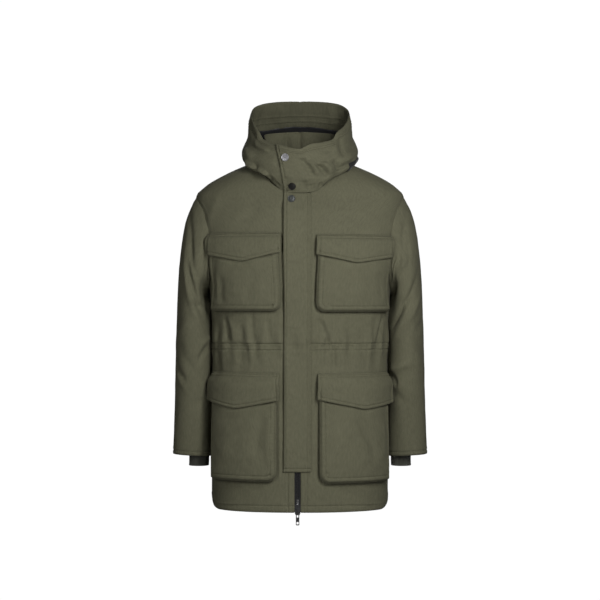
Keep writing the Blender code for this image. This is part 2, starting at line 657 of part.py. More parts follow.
# ---------------------------------------------------------------- hood
def plain_height(x, y):
    """Height of the torso's plain form over a place in plan, near the neck, found by halving."""
    low = np.full(np.shape(x), -0.13)
    high = np.full(np.shape(x), 0.0295)
    for _ in range(40):
        middle = (low + high) / 2
        depth = np.where(y < 0, smooth(middle, BODY["z"], BODY["front"]),
                         smooth(middle, BODY["z"], BODY["back"]))
        half_width = smooth(middle, BODY["z"], BODY["half_width"])
        inside = np.abs(x / half_width) ** BODY_SQUARE + np.abs(y / depth) ** BODY_SQUARE < 1
        low = np.where(inside, middle, low)
        high = np.where(inside, high, middle)
    return (low + high) / 2


def hood_form(degrees, ring):
    """A point of the hood's plain form: an egg-shaped section whose height follows a parabola through
    its front, side and back, and whose lowest ring lies on the neck seam."""
    degrees, ring = np.broadcast_arrays(np.asarray(degrees, float), np.asarray(ring, float))
    knots = np.arange(HOOD_RINGS)
    row = {key: smooth(ring, knots, HOOD[key]) for key in HOOD}
    angle = np.radians(degrees)
    cos = np.cos(angle)
    square = np.where(cos >= 0, row["front_square"], row["back_square"])
    reach = np.where(cos >= 0, row["side_y"] - row["front_y"], row["back_y"] - row["side_y"])
    x = row["side_x"] * power(np.sin(angle), 2 / square)
    y = row["side_y"] - reach * power(cos, 2 / square)
    f, s, b = row["front_y"], row["side_y"], row["back_y"]
    z = (row["front_z"] * (y - s) * (y - b) / ((f - s) * (f - b))
         + row["side_z"] * (y - f) * (y - b) / ((s - f) * (s - b))
         + row["back_z"] * (y - f) * (y - s) / ((b - f) * (b - s)))
    z = z - row["droop"] * (x / row["side_x"]) ** 2 * np.clip((y - s) / (b - s), 0, 1)
    rim = ease((ring - RIM_FROM) / (HOOD_RINGS - 1 - RIM_FROM))
    z = z + smooth(wrap_degrees(degrees), RIM_LIFT["turn"], RIM_LIFT["lift"]) * rim
    low = ring < 2
    if np.any(low):
        f0, s0, b0 = HOOD["front_y"][0], HOOD["side_y"][0], HOOD["back_y"][0]
        square0 = np.where(cos >= 0, HOOD["front_square"][0], HOOD["back_square"][0])
        x0 = HOOD["side_x"][0] * power(np.sin(angle), 2 / square0)
        y0 = np.where(cos >= 0, f0, -b0) * power(cos, 2 / square0)
        z0 = (HOOD["front_z"][0] * (y0 - s0) * (y0 - b0) / ((f0 - s0) * (f0 - b0))
              + HOOD["side_z"][0] * (y0 - f0) * (y0 - b0) / ((s0 - f0) * (s0 - b0))
              + HOOD["back_z"][0] * (y0 - f0) * (y0 - s0) / ((b0 - f0) * (b0 - s0)))
        rest = NECK_REST + NECK_FRONT_REST * ease((60 - np.abs(wrap_degrees(degrees))) / 40)
        z = z + (plain_height(x0, y0) + rest - z0) * (1 - ease(ring / 2))
    return np.stack([x, y, z], axis=-1)


def hood_normals(degrees, ring):
    small = 1e-3
    around = hood_form(degrees + 60 * small, ring) - hood_form(degrees - 60 * small, ring)
    up = hood_form(degrees, np.minimum(ring + small, HOOD_RINGS - 1)) \
        - hood_form(degrees, np.maximum(ring - small, 0))
    return unit(np.cross(around, up))


def hood_folds(degrees, ring):
    """Soft folds of the hood's cloth, each a bell over its own angle and rings."""
    out = 0.0 * degrees * ring
    for at, on_ring, width, rings, rise, slant in zip(*HOOD_FOLDS.values()):
        gap = (degrees - at + 180) % 360 - 180
        out = out + rise * np.exp(-(gap / width) ** 2 - ((ring - on_ring - slant * gap) / rings) ** 2)
    return out * ease(ring / 1.2)


def hood(degrees, ring, out=0.0):
    """A point of the draped hood, moved out along the plain form's normal but kept above the
    shoulders."""
    lift = hood_folds(degrees, ring) + out
    point = hood_form(degrees, ring) + hood_normals(degrees, ring) * np.asarray(lift)[..., None]
    ground = plain_height(point[..., 0], point[..., 1]) + NECK_REST + HOOD_CLEAR * ease(ring) - out
    point[..., 2] = np.where(ring < 4, np.maximum(point[..., 2], ground), point[..., 2])
    return point


def hood_angle_at_x(x, ring):
    """Angle at which the front of a hood ring passes through x."""
    knots = np.arange(HOOD_RINGS)
    half_width = smooth(ring, knots, HOOD["side_x"])
    square = smooth(ring, knots, HOOD["front_square"])
    return np.degrees(np.arcsin(power(x / half_width, square / 2)))


def lap_lift(x):
    """The wearer's left front lies over the other: it stands off by LAP_RISE and comes back to the
    surface over LAP_FADE."""
    return LAP_RISE * ease((UNDER_LAP_X + 0.004 + LAP_FADE - x) / LAP_FADE)


def hood_rings():
    return np.arange(HOOD_RINGS, dtype=float)[:, None]


def hood_halves():
    """Every layer of the hood has a column each HOOD_STEP, so that the layers stay parallel. Only the
    first columns follow the lap's free edge."""
    ring = hood_rings()
    seam = math.degrees(SEAM / 2 / 0.15)
    lap = LAP_BOTTOM_X + (LAP_TOP_X - LAP_BOTTOM_X) * ring / (HOOD_RINGS - 1)
    first = hood_angle_at_x(lap, ring)
    fixed = np.arange(0, 180 + HOOD_STEP / 2, HOOD_STEP)[None, :] + 0 * ring
    fixed[:, -1] -= seam
    degrees = np.concatenate([first, first / 2, fixed], axis=1)
    plain = hood_form(degrees, ring)
    grid = hood(degrees, ring, lap_lift(plain[..., 0]) * (degrees < 90))
    wall("hood_left", grid, cloth("hood_left"), normals=surface_normals(
        lambda a, b: hood(a, b, lap_lift(hood_form(a, b)[..., 0]) * (a < 90)), degrees, ring))
    last = hood_angle_at_x(UNDER_LAP_X, ring)
    degrees = np.concatenate([-fixed[:, :0:-1], last], axis=1)
    wall("hood_right", hood(degrees, ring), cloth("hood_right"),
         normals=surface_normals(hood, degrees, ring))


def surface_normals(surface, degrees, ring):
    """Unit normals of a hood surface from small steps over it."""
    small = 1e-2
    top = HOOD_RINGS - 1
    around = surface(degrees + 10 * small, ring + 0 * degrees) \
        - surface(degrees - 10 * small, ring + 0 * degrees)
    up = surface(degrees, np.minimum(ring + small, top) + 0 * degrees) \
        - surface(degrees, np.maximum(ring - small, 0) + 0 * degrees)
    return unit(np.cross(around, up))


def hood_inside():
    """The facing behind the opening's edge, the band of lining below it, the collar stand inside the
    neck, and the tape under the hood's roll on the wearer's left."""
    degrees = hood_columns(FACING_FROM)
    ring = np.arange(FACING_RING, HOOD_RINGS, dtype=float)[:, None]
    face = hood(degrees, ring + 0 * degrees, -WALL - REST)
    wall("hood_facing", face, cloth("hood_facing"), thick=THIN,
         normals=surface_normals(hood, degrees + 0 * ring, ring + 0 * degrees))
    degrees = hood_columns(LINING_FROM)
    ring = np.array([[LINING_RING], [FACING_RING]], float)
    face = hood(degrees, ring + 0 * degrees, -WALL - REST)
    face[-1] += unit(face[0] - face[-1]) * SEAM
    wall("hood_lining", face, material("hood_lining_cloth", "1f1f1c", 0.9), thick=THIN,
         normals=surface_normals(hood, degrees + 0 * ring, ring + 0 * degrees))
    degrees = hood_columns(STAND_FROM)
    turn = np.abs(wrap_degrees(degrees))
    rise = np.linspace(0, 1, 4)[:, None]
    low = neck_ring(wrap_degrees(degrees), STAND_INSET, STAND_LIFT)
    inset = smooth(turn, STAND_TOP["turn"], STAND_TOP["inset"])
    high = neck_ring(wrap_degrees(degrees), inset, 0.0)
    high[..., 2] = smooth(turn, STAND_TOP["turn"], STAND_TOP["z"])
    grid = low + (high - low) * rise[..., None]
    wall("collar_stand", grid, cloth("collar_stand"), thick=THIN)
    degrees = np.arange(HOOD_TAPE_FROM, HOOD_TAPE_TO + HOOD_STEP / 2, HOOD_STEP)[None, :]
    ring = np.array(HOOD_TAPE_RINGS)[:, None]
    grid = hood(degrees + 0 * ring, ring + 0 * degrees, 1.6 * REST + THIN)
    wall("hood_tape", grid, material("black_tape", "1c1c1a", 0.8), thick=THIN)


def hood_columns(start):
    """Angles round the back from one side to the other, as signed degrees from centre front."""
    return np.arange(start, 360 - start + HOOD_STEP / 2, HOOD_STEP)[None, :]


def wrap_degrees(degrees):
    return (degrees + 180) % 360 - 180


def neck_ring(degrees, inset, lift):
    """The neck's plan curve drawn in by inset, at the torso's height plus lift."""
    angle = np.radians(degrees)
    front = np.cos(angle) >= 0
    square = np.where(front, NECK_FRONT_SQUARE, NECK_BACK_SQUARE)
    depth = np.where(front, NECK_FRONT, NECK_BACK)
    x = power(np.sin(angle), 2 / square)
    y = -power(np.cos(angle), 2 / square)
    z = plain_height(NECK_HALF_WIDTH * x, depth * y) + lift
    return np.stack([(NECK_HALF_WIDTH - inset) * x, (depth - inset) * y, z], axis=-1)


# ---------------------------------------------------------------- zip and storm flap
def front_rows(top, bottom):
    """Heights of the front panel's own rows between two limits, with the limits."""
    _, z = panel_shares(0, 1, FRONT_COLUMNS, start_x=ZIP_X + ZIP_GAP / 2)
    inner = [value for value in z[:, 0] if bottom + 0.006 < value < top - 0.006]
    return np.array([bottom, *inner, top])[:, None]


def strip(x_from, x_to, columns, z, out):
    """Grid on the front between two x, moved out."""
    x = x_from + (x_to - x_from) * np.linspace(0, 1, columns)[None, :]
    share = share_at_x(x + 0 * z, z + 0 * x)
    return skin(share, z + 0 * x, out)


def zip_fastener():
    """Chain, tapes and slider of the two-way zip, and the slider's hinged pull."""
    top = ZIP_TOP_Z
    dark = material("zip_black", "222121", 0.55)
    chain_z = front_rows(top, SLIDER_TOP_Z + SEAM)
    half = CHAIN_WIDE / 2
    chain = strip(ZIP_X - half, ZIP_X + half, 2, chain_z, -CHAIN_DEEP)
    wall("zip_chain", chain, dark, thick=CHAIN_THICK)
    black = material("zip_tape", "1d1d1c", 0.85)
    tape_z = front_rows(top, ZIP_END_Z)
    for side, name in ((1, "left"), (-1, "right")):
        ends = sorted((ZIP_X + side * (half + SEAM), ZIP_X + side * TAPE_REACH))
        wall("zip_tape_" + name, strip(*ends, 2, tape_z, -WALL - 0.0006), black, thick=TAPE_THICK)
    plate_y = float(strip(ZIP_X, ZIP_X, 1, np.array([[SLIDER_TOP_Z]]), 0.0)[0, 0, 1]) + 0.0002
    slider(plate_y, dark)
    pull(plate_y - PULL_STAND, dark)


def bar(name, profile, axis, start, end, paint):
    """A prism: the profile's points lie in the plane across the axis (0 for X, 2 for Z)."""
    points = []
    for place in (start, end):
        for a, b in profile:
            points.append((place, a, b) if axis == 0 else (a, b, place))
    count = len(profile)
    faces = [tuple(range(count)), tuple(range(2 * count - 1, count - 1, -1))]
    faces += [(k, (k + 1) % count, (k + 1) % count + count, k + count) for k in range(count)]
    return put(name, points, faces, paint, angle=25)


def slider(plate_y, paint):
    """An H in section, so that the tapes run in its side slots, with a bridge on its front plate."""
    wide, web, plate = SLIDER_WIDE / 2, SLIDER_WEB / 2, SLIDER_PLATE
    back = plate_y + SLIDER_THICK
    outline = [(-wide, plate_y), (wide, plate_y), (wide, plate_y + plate), (web, plate_y + plate),
               (web, back - plate), (wide, back - plate), (wide, back), (-wide, back),
               (-wide, back - plate), (-web, back - plate), (-web, plate_y + plate),
               (-wide, plate_y + plate)]
    levels = ((SLIDER_TOP_Z, 1.0), (SLIDER_TOP_Z - 0.62 * SLIDER_LONG, 1.0),
              (SLIDER_TOP_Z - 0.86 * SLIDER_LONG, 0.90), (SLIDER_TOP_Z - SLIDER_LONG, 0.62))
    points = []
    for z, narrow in levels:
        for x, y in outline:
            points.append((ZIP_X + x * (narrow if abs(x) > web else min(1.0, narrow + 0.1)), y, z))
    count = len(outline)
    faces = [tuple(range(count)), tuple(reversed(range(3 * count, 4 * count)))]
    for level in range(3):
        for k in range(count):
            n = (k + 1) % count
            faces.append((level * count + k, (level + 1) * count + k, (level + 1) * count + n,
                          level * count + n))
    body = put("zip_slider", points, faces, paint, angle=25)
    inner, outer = BRIDGE_INNER, BRIDGE_INNER + BRIDGE_BAR
    low, high = PULL_AXIS_Z - BRIDGE_BELOW, PULL_AXIS_Z + BRIDGE_ABOVE
    sunk = plate_y + SLIDER_PLATE * 0.6
    arch = [(sunk, low - BRIDGE_BAR), (plate_y - inner, low - BRIDGE_BAR),
            (plate_y - outer, low), (plate_y - outer, high), (plate_y - inner, high + BRIDGE_BAR),
            (sunk, high + BRIDGE_BAR * 1.6), (sunk, high), (plate_y - inner, high),
            (plate_y - inner, low), (sunk, low)]
    bridge = bar("zip_bridge", arch, 0, ZIP_X - BRIDGE_WIDE / 2, ZIP_X + BRIDGE_WIDE / 2, paint)
    bridge.hide_render = True
    bridge.display_type = "WIRE"
    join = body.modifiers.new("bridge", "BOOLEAN")
    join.operation = "UNION"
    join.object = bridge


def pull(axis_y, paint):
    """A flat tab with a slot that runs round the bridge and a square eye at its end. Its top bar is
    the hinge pin, and the object's origin lies on that axis."""
    wide, half_pin = PULL_WIDE / 2, PULL_THICK / 2
    end = -PULL_LONG
    corner = 0.0018
    outline = [(-wide, half_pin - 0.0006), (-wide + 0.0006, half_pin), (wide - 0.0006, half_pin),
               (wide, half_pin - 0.0006), (wide, end + corner), (wide - corner * 0.3, end + corner * 0.3),
               (wide - corner, end), (-wide + corner, end), (-wide + corner * 0.3, end + corner * 0.3),
               (-wide, end + corner)]
    slot = rounded_hole(PULL_SLOT_WIDE / 2, -half_pin, -PULL_SLOT_LONG)
    eye = rounded_hole(PULL_EYE_WIDE / 2, end + PULL_EYE_LOW + PULL_EYE_LONG, end + PULL_EYE_LOW)
    shape = bmesh.new()
    edges = []
    for loop in (outline, slot, eye):
        corners = [shape.verts.new((x, -PULL_THICK / 2, z)) for x, z in loop]
        edges += [shape.edges.new((corners[k - 1], corners[k])) for k in range(len(corners))]
    filled = bmesh.ops.triangle_fill(shape, use_beauty=True, use_dissolve=False, edges=edges)
    faces = [part for part in filled["geom"] if isinstance(part, bmesh.types.BMFace)]
    grown = bmesh.ops.extrude_face_region(shape, geom=faces, use_keep_orig=True)
    moved = [part for part in grown["geom"] if isinstance(part, bmesh.types.BMVert)]
    bmesh.ops.translate(shape, verts=moved, vec=(0, PULL_THICK, 0))
    bmesh.ops.recalc_face_normals(shape, faces=shape.faces)
    mesh = bpy.data.meshes.new("zip_pull")
    shape.to_mesh(mesh)
    shape.free()
    mesh.materials.append(paint)
    made = bpy.data.objects.new("zip_pull", mesh)
    made.location = (ZIP_X, axis_y, PULL_AXIS_Z)
    bpy.context.scene.collection.objects.link(made)


def rounded_hole(half_wide, top, bottom):
    """An upright slot with cut corners."""
    cut = half_wide * 0.45
    return [(-half_wide, top - cut), (-half_wide + cut, top), (half_wide - cut, top),
            (half_wide, top - cut), (half_wide, bottom + cut), (half_wide - cut, bottom),
            (-half_wide + cut, bottom), (-half_wide, bottom + cut)]


def storm_flap():
    """The flap over the zip: sewn down along its right edge, free at its left edge."""
    z = front_rows(STORM_FLAP_TOP_Z, STORM_FLAP_BOTTOM_Z)
    down = (z - STORM_FLAP_TOP_Z) / (STORM_FLAP_BOTTOM_Z - STORM_FLAP_TOP_Z)
    left = STORM_FLAP_TOP_LEFT + (STORM_FLAP_BOTTOM_LEFT - STORM_FLAP_TOP_LEFT) * down
    u = np.linspace(0, 1, 4)[None, :]
    x = left + (STORM_FLAP_RIGHT - left) * u
    share = share_at_x(x, z + 0 * x)
    z = z + 0 * x
    z[-1] = neck_height(share[-1]) - 0.0050
    share = share_at_x(x, z)
    out = REST + STORM_FLAP_THICK + STORM_FLAP_STAND * (1 - u) ** 1.5
    wall("storm_flap", skin(share, z, out), cloth("storm_flap"), thick=STORM_FLAP_THICK)


# ---------------------------------------------------------------- pockets
def pocket_rows():
    """The pockets' and flaps' tables as one dictionary for each pocket."""
    rows = []
    for k, name in enumerate(POCKET_NAMES):
        row = {key: POCKETS[key][k] for key in POCKETS}
        row.update({"flap_" + key: FLAPS[key][k] for key in FLAPS})
        row["name"] = name
        rows.append(row)
    return rows


def girth_at(x, z):
    """Girth from centre front, in metres, of a place given by x and height."""
    return np.abs(share_at_x(x, z)) * QUARTER_GIRTH


def bag_out(pocket, z):
    """How far the bag's face stands off the body at a height."""
    down = (pocket["mouth_z"] - z) / (pocket["mouth_z"] - pocket["bottom_z"])
    return pocket["mouth_out"] + (pocket["bottom_out"] - pocket["mouth_out"]) * ease(down * 1.15)


def pocket_path(pocket):
    """The bag's outline from its mouth down the inner side, along the bottom and up the outer side:
    girth, height and the inward direction at each point."""
    top, low, corner = pocket["mouth_z"], pocket["bottom_z"], pocket["corner"]
    inner = float(girth_at(pocket["in_x"], (top + low) / 2))
    outer_top = float(girth_at(pocket["out_x_top"], top))
    outer_low = float(girth_at(pocket["out_x_bottom"], low))
    rows = []
    for z in np.linspace(top, low + corner, POCKET_SIDE_STEPS):
        rows.append((inner, z, 1.0, 0.0))
    for turn in np.radians((30, 60)):
        rows.append((inner + corner * (1 - math.cos(turn)), low + corner * (1 - math.sin(turn)),
                     math.cos(turn), math.sin(turn)))
    for g in np.linspace(inner + corner, outer_low - corner, POCKET_BOTTOM_STEPS):
        rows.append((g, low, 0.0, 1.0))
    for turn in np.radians((60, 30)):
        rows.append((outer_low - corner * (1 - math.cos(turn)), low + corner * (1 - math.sin(turn)),
                     -math.cos(turn), math.sin(turn)))
    for z in np.linspace(low + corner, top, POCKET_SIDE_STEPS):
        share = (z - low) / (top - low)
        rows.append((outer_low + (outer_top - outer_low) * share, z, -1.0, 0.0))
    return np.array(rows)


def pocket_bag(pocket):
    """A bellows bag: a wall stands out from the body all along the outline, turns over a round edge
    and becomes the face, which runs up to the open mouth."""
    path = pocket_path(pocket)
    count = len(path)
    part = np.linspace(0, 1, count)
    g, z, toward, up = path.T
    mouth_g = g[0] + MOUTH_INSET + (g[-1] - g[0] - 2 * MOUTH_INSET) * part
    rows = []
    for in_by, below in ((0.0, None), (0.0, POCKET_EDGE), (0.3 * POCKET_EDGE, 0.3 * POCKET_EDGE),
                         (POCKET_EDGE, 0.0)):
        row_g = g + toward * in_by
        row_z = z + np.where((part == 0) | (part == 1), 0, up) * in_by
        full = bag_out(pocket, row_z)
        rows.append((row_g, row_z, np.full(count, POCKET_REST) if below is None else full - below))
    for share in (0.35, 0.7, 1.0):
        row_g = rows[3][0] + (mouth_g - rows[3][0]) * share
        row_z = rows[3][1] + (pocket["mouth_z"] - rows[3][1]) * share
        puff = POCKET_PUFF * 4 * share * (1 - share) * np.sin(np.pi * part)
        rows.append((row_g, row_z, bag_out(pocket, row_z) + puff))
    g, z, out = (np.array([row[k] for row in rows]) for k in range(3))
    share = pocket["side"] * g / QUARTER_GIRTH
    grid = skin(share, z, out + 0.0)
    if pocket["side"] > 0:
        grid = grid[:, ::-1]
    name = "pocket_" + pocket["name"]
    wall(name, grid[:, ::-1], cloth(name), thick=POCKET_WALL)


def pocket_flap(pocket):
    """A pointed flap, sewn along its top and lying over the bag's mouth and face."""
    part = np.linspace(0, 1, FLAP_STEPS + 1)
    top = pocket["flap_top_z"]
    inner = float(girth_at(pocket["flap_in_x"], top))
    outer = float(girth_at(pocket["flap_out_x"], top))
    point = float(girth_at(pocket["flap_point_x"], top))
    g = inner + (outer - inner) * part
    edge = [pocket["flap_" + key] for key in ("in_z", "point_z", "out_z")]
    low = np.interp(g, (inner, point, outer), edge)
    rows_g, rows_z, rows_out = [], [], []
    clear = WALL + FLAP_CLEAR
    for share, lift in ((0.0, 0.0), (0.13, 0.42), (0.30, 0.86), (0.48, 1.0), (0.74, 1.0), (1.0, 1.0)):
        z = top + (low - top) * share
        over = bag_out(pocket, np.minimum(z, pocket["mouth_z"])) + clear + POCKET_PUFF
        rows_g.append(g + pocket["flap_flare"] * share * part ** 3)
        rows_z.append(z)
        rows_out.append(FLAP_REST + WALL + (over - FLAP_REST - WALL) * lift)
    g, z, out = np.array(rows_g), np.array(rows_z), np.array(rows_out)
    grid = skin(pocket["side"] * g / QUARTER_GIRTH, z, out)
    if pocket["side"] > 0:
        grid = grid[::-1]
    else:
        grid = grid[::-1, ::-1]
    name = "flap_" + pocket["name"]
    wall(name, grid, cloth(name), thick=WALL)


# ---------------------------------------------------------------- snaps
def cap(name, centre, normal, diameter, thick, paint):
    """A turned snap cap: flat underside, short side and a gently domed top with a rim."""
    normal = unit(np.asarray(normal, float))
    side = unit(np.cross(normal, (0.0, 0.0, 1.0)))
    up = np.cross(side, normal)
    radius = diameter / 2
    profile = ((1.0, 0.0), (1.0, 0.55), (0.93, 0.90), (0.62, 0.82), (0.0, 1.0))
    points = [centre]
    for share, height in profile[:-1]:
        for k in range(SNAP_SIDES):
            turn = 2 * math.pi * k / SNAP_SIDES
            points.append(centre + (side * math.cos(turn) + up * math.sin(turn)) * radius * share
                          + normal * thick * height)
    points.append(centre + normal * thick * profile[-1][1])
    faces = []
    rings = len(profile) - 1
    for k in range(SNAP_SIDES):
        n = (k + 1) % SNAP_SIDES
        faces.append((0, 1 + n, 1 + k))
        for ring in range(rings - 1):
            a, b = 1 + ring * SNAP_SIDES, 1 + (ring + 1) * SNAP_SIDES
            faces.append((a + k, a + n, b + n, b + k))
        last = 1 + (rings - 1) * SNAP_SIDES
        faces.append((last + k, last + n, len(points) - 1))
    put(name, points, faces, paint, angle=35)


def snaps():
    degrees = np.linspace(-40, 20, 121)[None, :]
    ring = np.linspace(0, HOOD_RINGS - 1, 201)[:, None]
    lifted = hood(degrees + 0 * ring, ring + 0 * degrees, LAP_RISE + SNAP_REST)
    colors = (("snap_silver", "8b8b8f", 0.35, 0.9), ("snap_black", "1c1b19", 0.45, 0.6),
              ("snap_gunmetal", "454745", 0.4, 0.9))
    for k, name in enumerate(SNAP_NAMES):
        x, z = SNAPS["x"][k], SNAPS["z"][k]
        paint = material(*colors[k])
        if k < 2:
            away = np.hypot(lifted[..., 0] - x, lifted[..., 2] - z)
            row, column = np.unravel_index(np.argmin(away), away.shape)
            centre = lifted[row, column]
            normal = hood_normals(degrees[0, column:column + 1], ring[row, 0:1])[0]
        else:
            share = share_at_x(np.array([x]), np.array([z]))
            out = REST + STORM_FLAP_THICK + STORM_FLAP_STAND * 0.35 + SNAP_REST
            centre = skin(share, np.array([z]), out)[0]
            normal = skin_normals(share, np.array([z]))[0]
        cap(name, centre, normal, SNAPS["diameter"][k], SNAPS["thick"][k], paint)


# ---------------------------------------------------------------- the garment
def main():
    for made in list(bpy.data.objects):
        bpy.data.objects.remove(made, do_unlink=True)
    body_panels()
    sleeves()
    hood_halves()
    hood_inside()
    storm_flap()
    zip_fastener()
    for pocket in pocket_rows():
        pocket_bag(pocket)
        pocket_flap(pocket)
    snaps()


main()
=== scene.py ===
"""Looks of a hooded parka, filled out as if worn, with nobody in it.

Metres, +Z up, the front facing -Y. Every piece of cloth is a surface worked out from the garment's
sizes: a torso of level sections, sleeves of ovals, a hood of egg-shaped rings. The cloth's folds,
seams and stitched grooves move that surface in and out, a wall gives it thickness, and each row of
topstitching is laid along a line of the same surface.
"""

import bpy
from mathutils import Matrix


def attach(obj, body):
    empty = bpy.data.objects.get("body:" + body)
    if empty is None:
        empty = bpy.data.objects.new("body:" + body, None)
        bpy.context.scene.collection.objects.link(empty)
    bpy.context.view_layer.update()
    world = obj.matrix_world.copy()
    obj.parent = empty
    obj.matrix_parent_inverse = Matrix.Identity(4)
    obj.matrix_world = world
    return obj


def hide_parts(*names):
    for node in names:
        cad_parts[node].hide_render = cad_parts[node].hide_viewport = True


bl_info = {
    "name": "Hooded Parka",
    "version": (1, 0, 0),
    "blender": (4, 5, 0),
    "location": "3D View > Sidebar > Parka",
    "description": "Makes a hooded parka's twill, topstitching, knit cuffs, zip and snaps",
    "category": "Add Mesh",
}

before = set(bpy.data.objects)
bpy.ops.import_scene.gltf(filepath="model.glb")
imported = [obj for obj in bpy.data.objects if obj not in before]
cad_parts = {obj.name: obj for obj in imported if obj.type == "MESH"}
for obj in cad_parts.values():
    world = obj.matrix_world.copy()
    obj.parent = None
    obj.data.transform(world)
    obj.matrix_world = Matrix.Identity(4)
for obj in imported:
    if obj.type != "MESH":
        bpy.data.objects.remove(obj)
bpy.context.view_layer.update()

import math

import bmesh
import bpy
import numpy as np
from bpy.props import FloatProperty, FloatVectorProperty, IntProperty, PointerProperty


def table(columns, *rows):
    """A table with named columns, as a dictionary of arrays."""
    return dict(zip(columns.split(), np.array(rows, float).T))


def linear(code):
    """An sRGB hex colour turned to linear, with an alpha of 1."""
    channels = [int(code[k:k + 2], 16) / 255 for k in (0, 2, 4)]
    return (*[c / 12.92 if c <= 0.04045 else ((c + 0.055) / 1.055) ** 2.4 for c in channels], 1.0)


# ---------------------------------------------------------------- the garment's sizes
# In metres, unless a table says otherwise.
WALL = 0.0022
THIN = 0.0014
REST = 0.0006
SEAM = 0.0003

HEM_Z = -0.804
HEM_LIFT = 0.02
ARMPIT_Z = -0.295
TIP_Z = -0.0755
CASING_Z = -0.4262  # middle of the waist's casing
CASING_HALF = 0.007  # from its middle to each row of stitches

BODY_SQUARE = 2.3
BODY = table(
    "z      half_width front   back",
    (-0.83, 0.2076, 0.147, 0.147),
    (-0.7, 0.207, 0.145, 0.145),
    (-0.56, 0.2068, 0.141, 0.142),
    (-0.424, 0.2062, 0.136, 0.137),
    (-0.34, 0.21, 0.14, 0.142),
    (-0.295, 0.213, 0.143, 0.146),
    (-0.24, 0.229, 0.144, 0.149),
    (-0.185, 0.24, 0.14, 0.148),
    (-0.118, 0.2415, 0.124, 0.14),
    (-0.0755, 0.244, 0.103, 0.127),
    (-0.052, 0.224, 0.093, 0.118),
    (-0.0236, 0.177, 0.076, 0.104),
    (-0.0024, 0.129, 0.059, 0.092),
    (0.011, 0.092, 0.046, 0.084),
    (0.03, 0.04, 0.03, 0.07))
FOLDS = (  # the largest, in millimetres round from centre front and in height
    # around z  width height out slant
    (-267, -425, 12, 30, 2.4, 0),
    (-230.9, -410, 12, 42, 4.4, 0),
    (-194.6, -428, 12, 46, 5.2, 0),
    (-158.3, -405, 12, 38, 4, 0),
    (-122, -418, 12, 48, 5.2, 0),
    (-85.7, -412, 12, 40, 4.4, 0),
    (-49.4, -405, 11, 34, 3, 0),
    (-212.7, -462, 13, 28, -3.2, 0),
    (-140.1, -455, 13, 30, -3, 0),
    (58.7, -418, 12, 50, 4.6, 0),
    (96.5, -402, 12, 42, 4, 0),
    (134, -425, 13, 36, 3.6, 0),
    (172, -410, 12, 40, 4.8, 0),
    (210, -425, 12, 36, 3.4, 0),
    (248, -412, 12, 45, 4.4, 0),
    (77.5, -455, 13, 30, -2.8, 0),
    (191, -455, 13, 28, -3, 0),
    (312, -420, 15, 40, 3.4, 0),
    (363.1, -405, 16, 48, 4.6, 0),
    (415, -428, 15, 36, 3.8, 0),
    (466.9, -410, 17, 50, 5, 0),
    (518.8, -424, 15, 40, 3.8, 0),
    (570.6, -412, 16, 44, 3.4, 0),
    (-311.2, -424, 15, 38, 3.2, 0),
    (-363.1, -408, 16, 46, 4.8, 0),
    (-415, -430, 14, 36, 3.6, 0),
    (-466.9, -412, 17, 50, 4.6, 0),
    (-518.8, -426, 15, 40, 3.6, 0),
    (-165, -105, 50, 30, -3, 0),
    (150, -108, 48, 32, -2.8, 0),
    (440, -620, 60, 120, 4, 0),
    (-450, -600, 55, 110, 3.6, 0),
    (470, -180, 60, 60, -3.4, 0),
    (-480, -200, 55, 60, -3, 0))
FRONT_CREASES = (  # in millimetres, seen from the front: from (x0, z0) to (x1, z1), bowed by bend
    # x0     z0      x1      z1      bend    width   out
    (-178, -352, -166, -418, 6, 5, -4.4),
    (-166, -356, -154, -420, 5, 6, 2.6),
    (-188, -386, -192, -470, -3, 5, -3.4),
    (-140, -368, -132, -412, 0, 8, -1.8),
    (-111.5, -340, -106, -424, -2, 5.5, -3.6),
    (-74.5, -356, -72.5, -420, 1, 4, -2.6),
    (-124, -416, -121, -478, 2, 6, -2.8),
    (-150, -418, -146, -470, -2, 7, 1.6),
    (-54, -412, -50, -462, 1, 5, -2),
    (43, -360, 64, -428, 4, 6.5, -4.8),
    (53, -356, 74, -424, 3, 6, 2.2),
    (62, -404, 60, -446, 0, 4, -3.6),
    (48, -423.5, 60, -428.5, 2, 2.2, -3),
    (50, -416.5, 59, -420, 1, 2.2, 2),
    (79, -420, 77.5, -480, 1, 3.8, -3.6),
    (86, -422, 85, -476, 1, 5, 1.4),
    (36, -372, 40, -398, 1, 4.5, -1.4),
    (60, -430, 56, -480, 1, 6, -1.8),
    (155.5, -404, 156, -442, 0, 3.6, -2.6),
    (155, -430, 154, -480, 0, 6, -1.4),
    (196, -350, 179, -434, -3, 5, -4.6),
    (187, -352, 170, -430, -3, 6, 2.4),
    (118, -398, 117, -436, 1, 4.5, -1.6),
    (-200, -210, -192, -340, 6, 11, -2),
    (205, -215, 196, -340, -5, 11, -1.8),
    (-100, -80, -150, -150, 12, 14, -2.2),
    (96, -70, 150, -150, -12, 14, -2),
    (-175, -66, -215, -150, -6, 12, 1.8),
    (-80, -745, -150, -772, 4, 9, -1.6),
    (75, -748, 150, -768, -4, 9, -1.6))
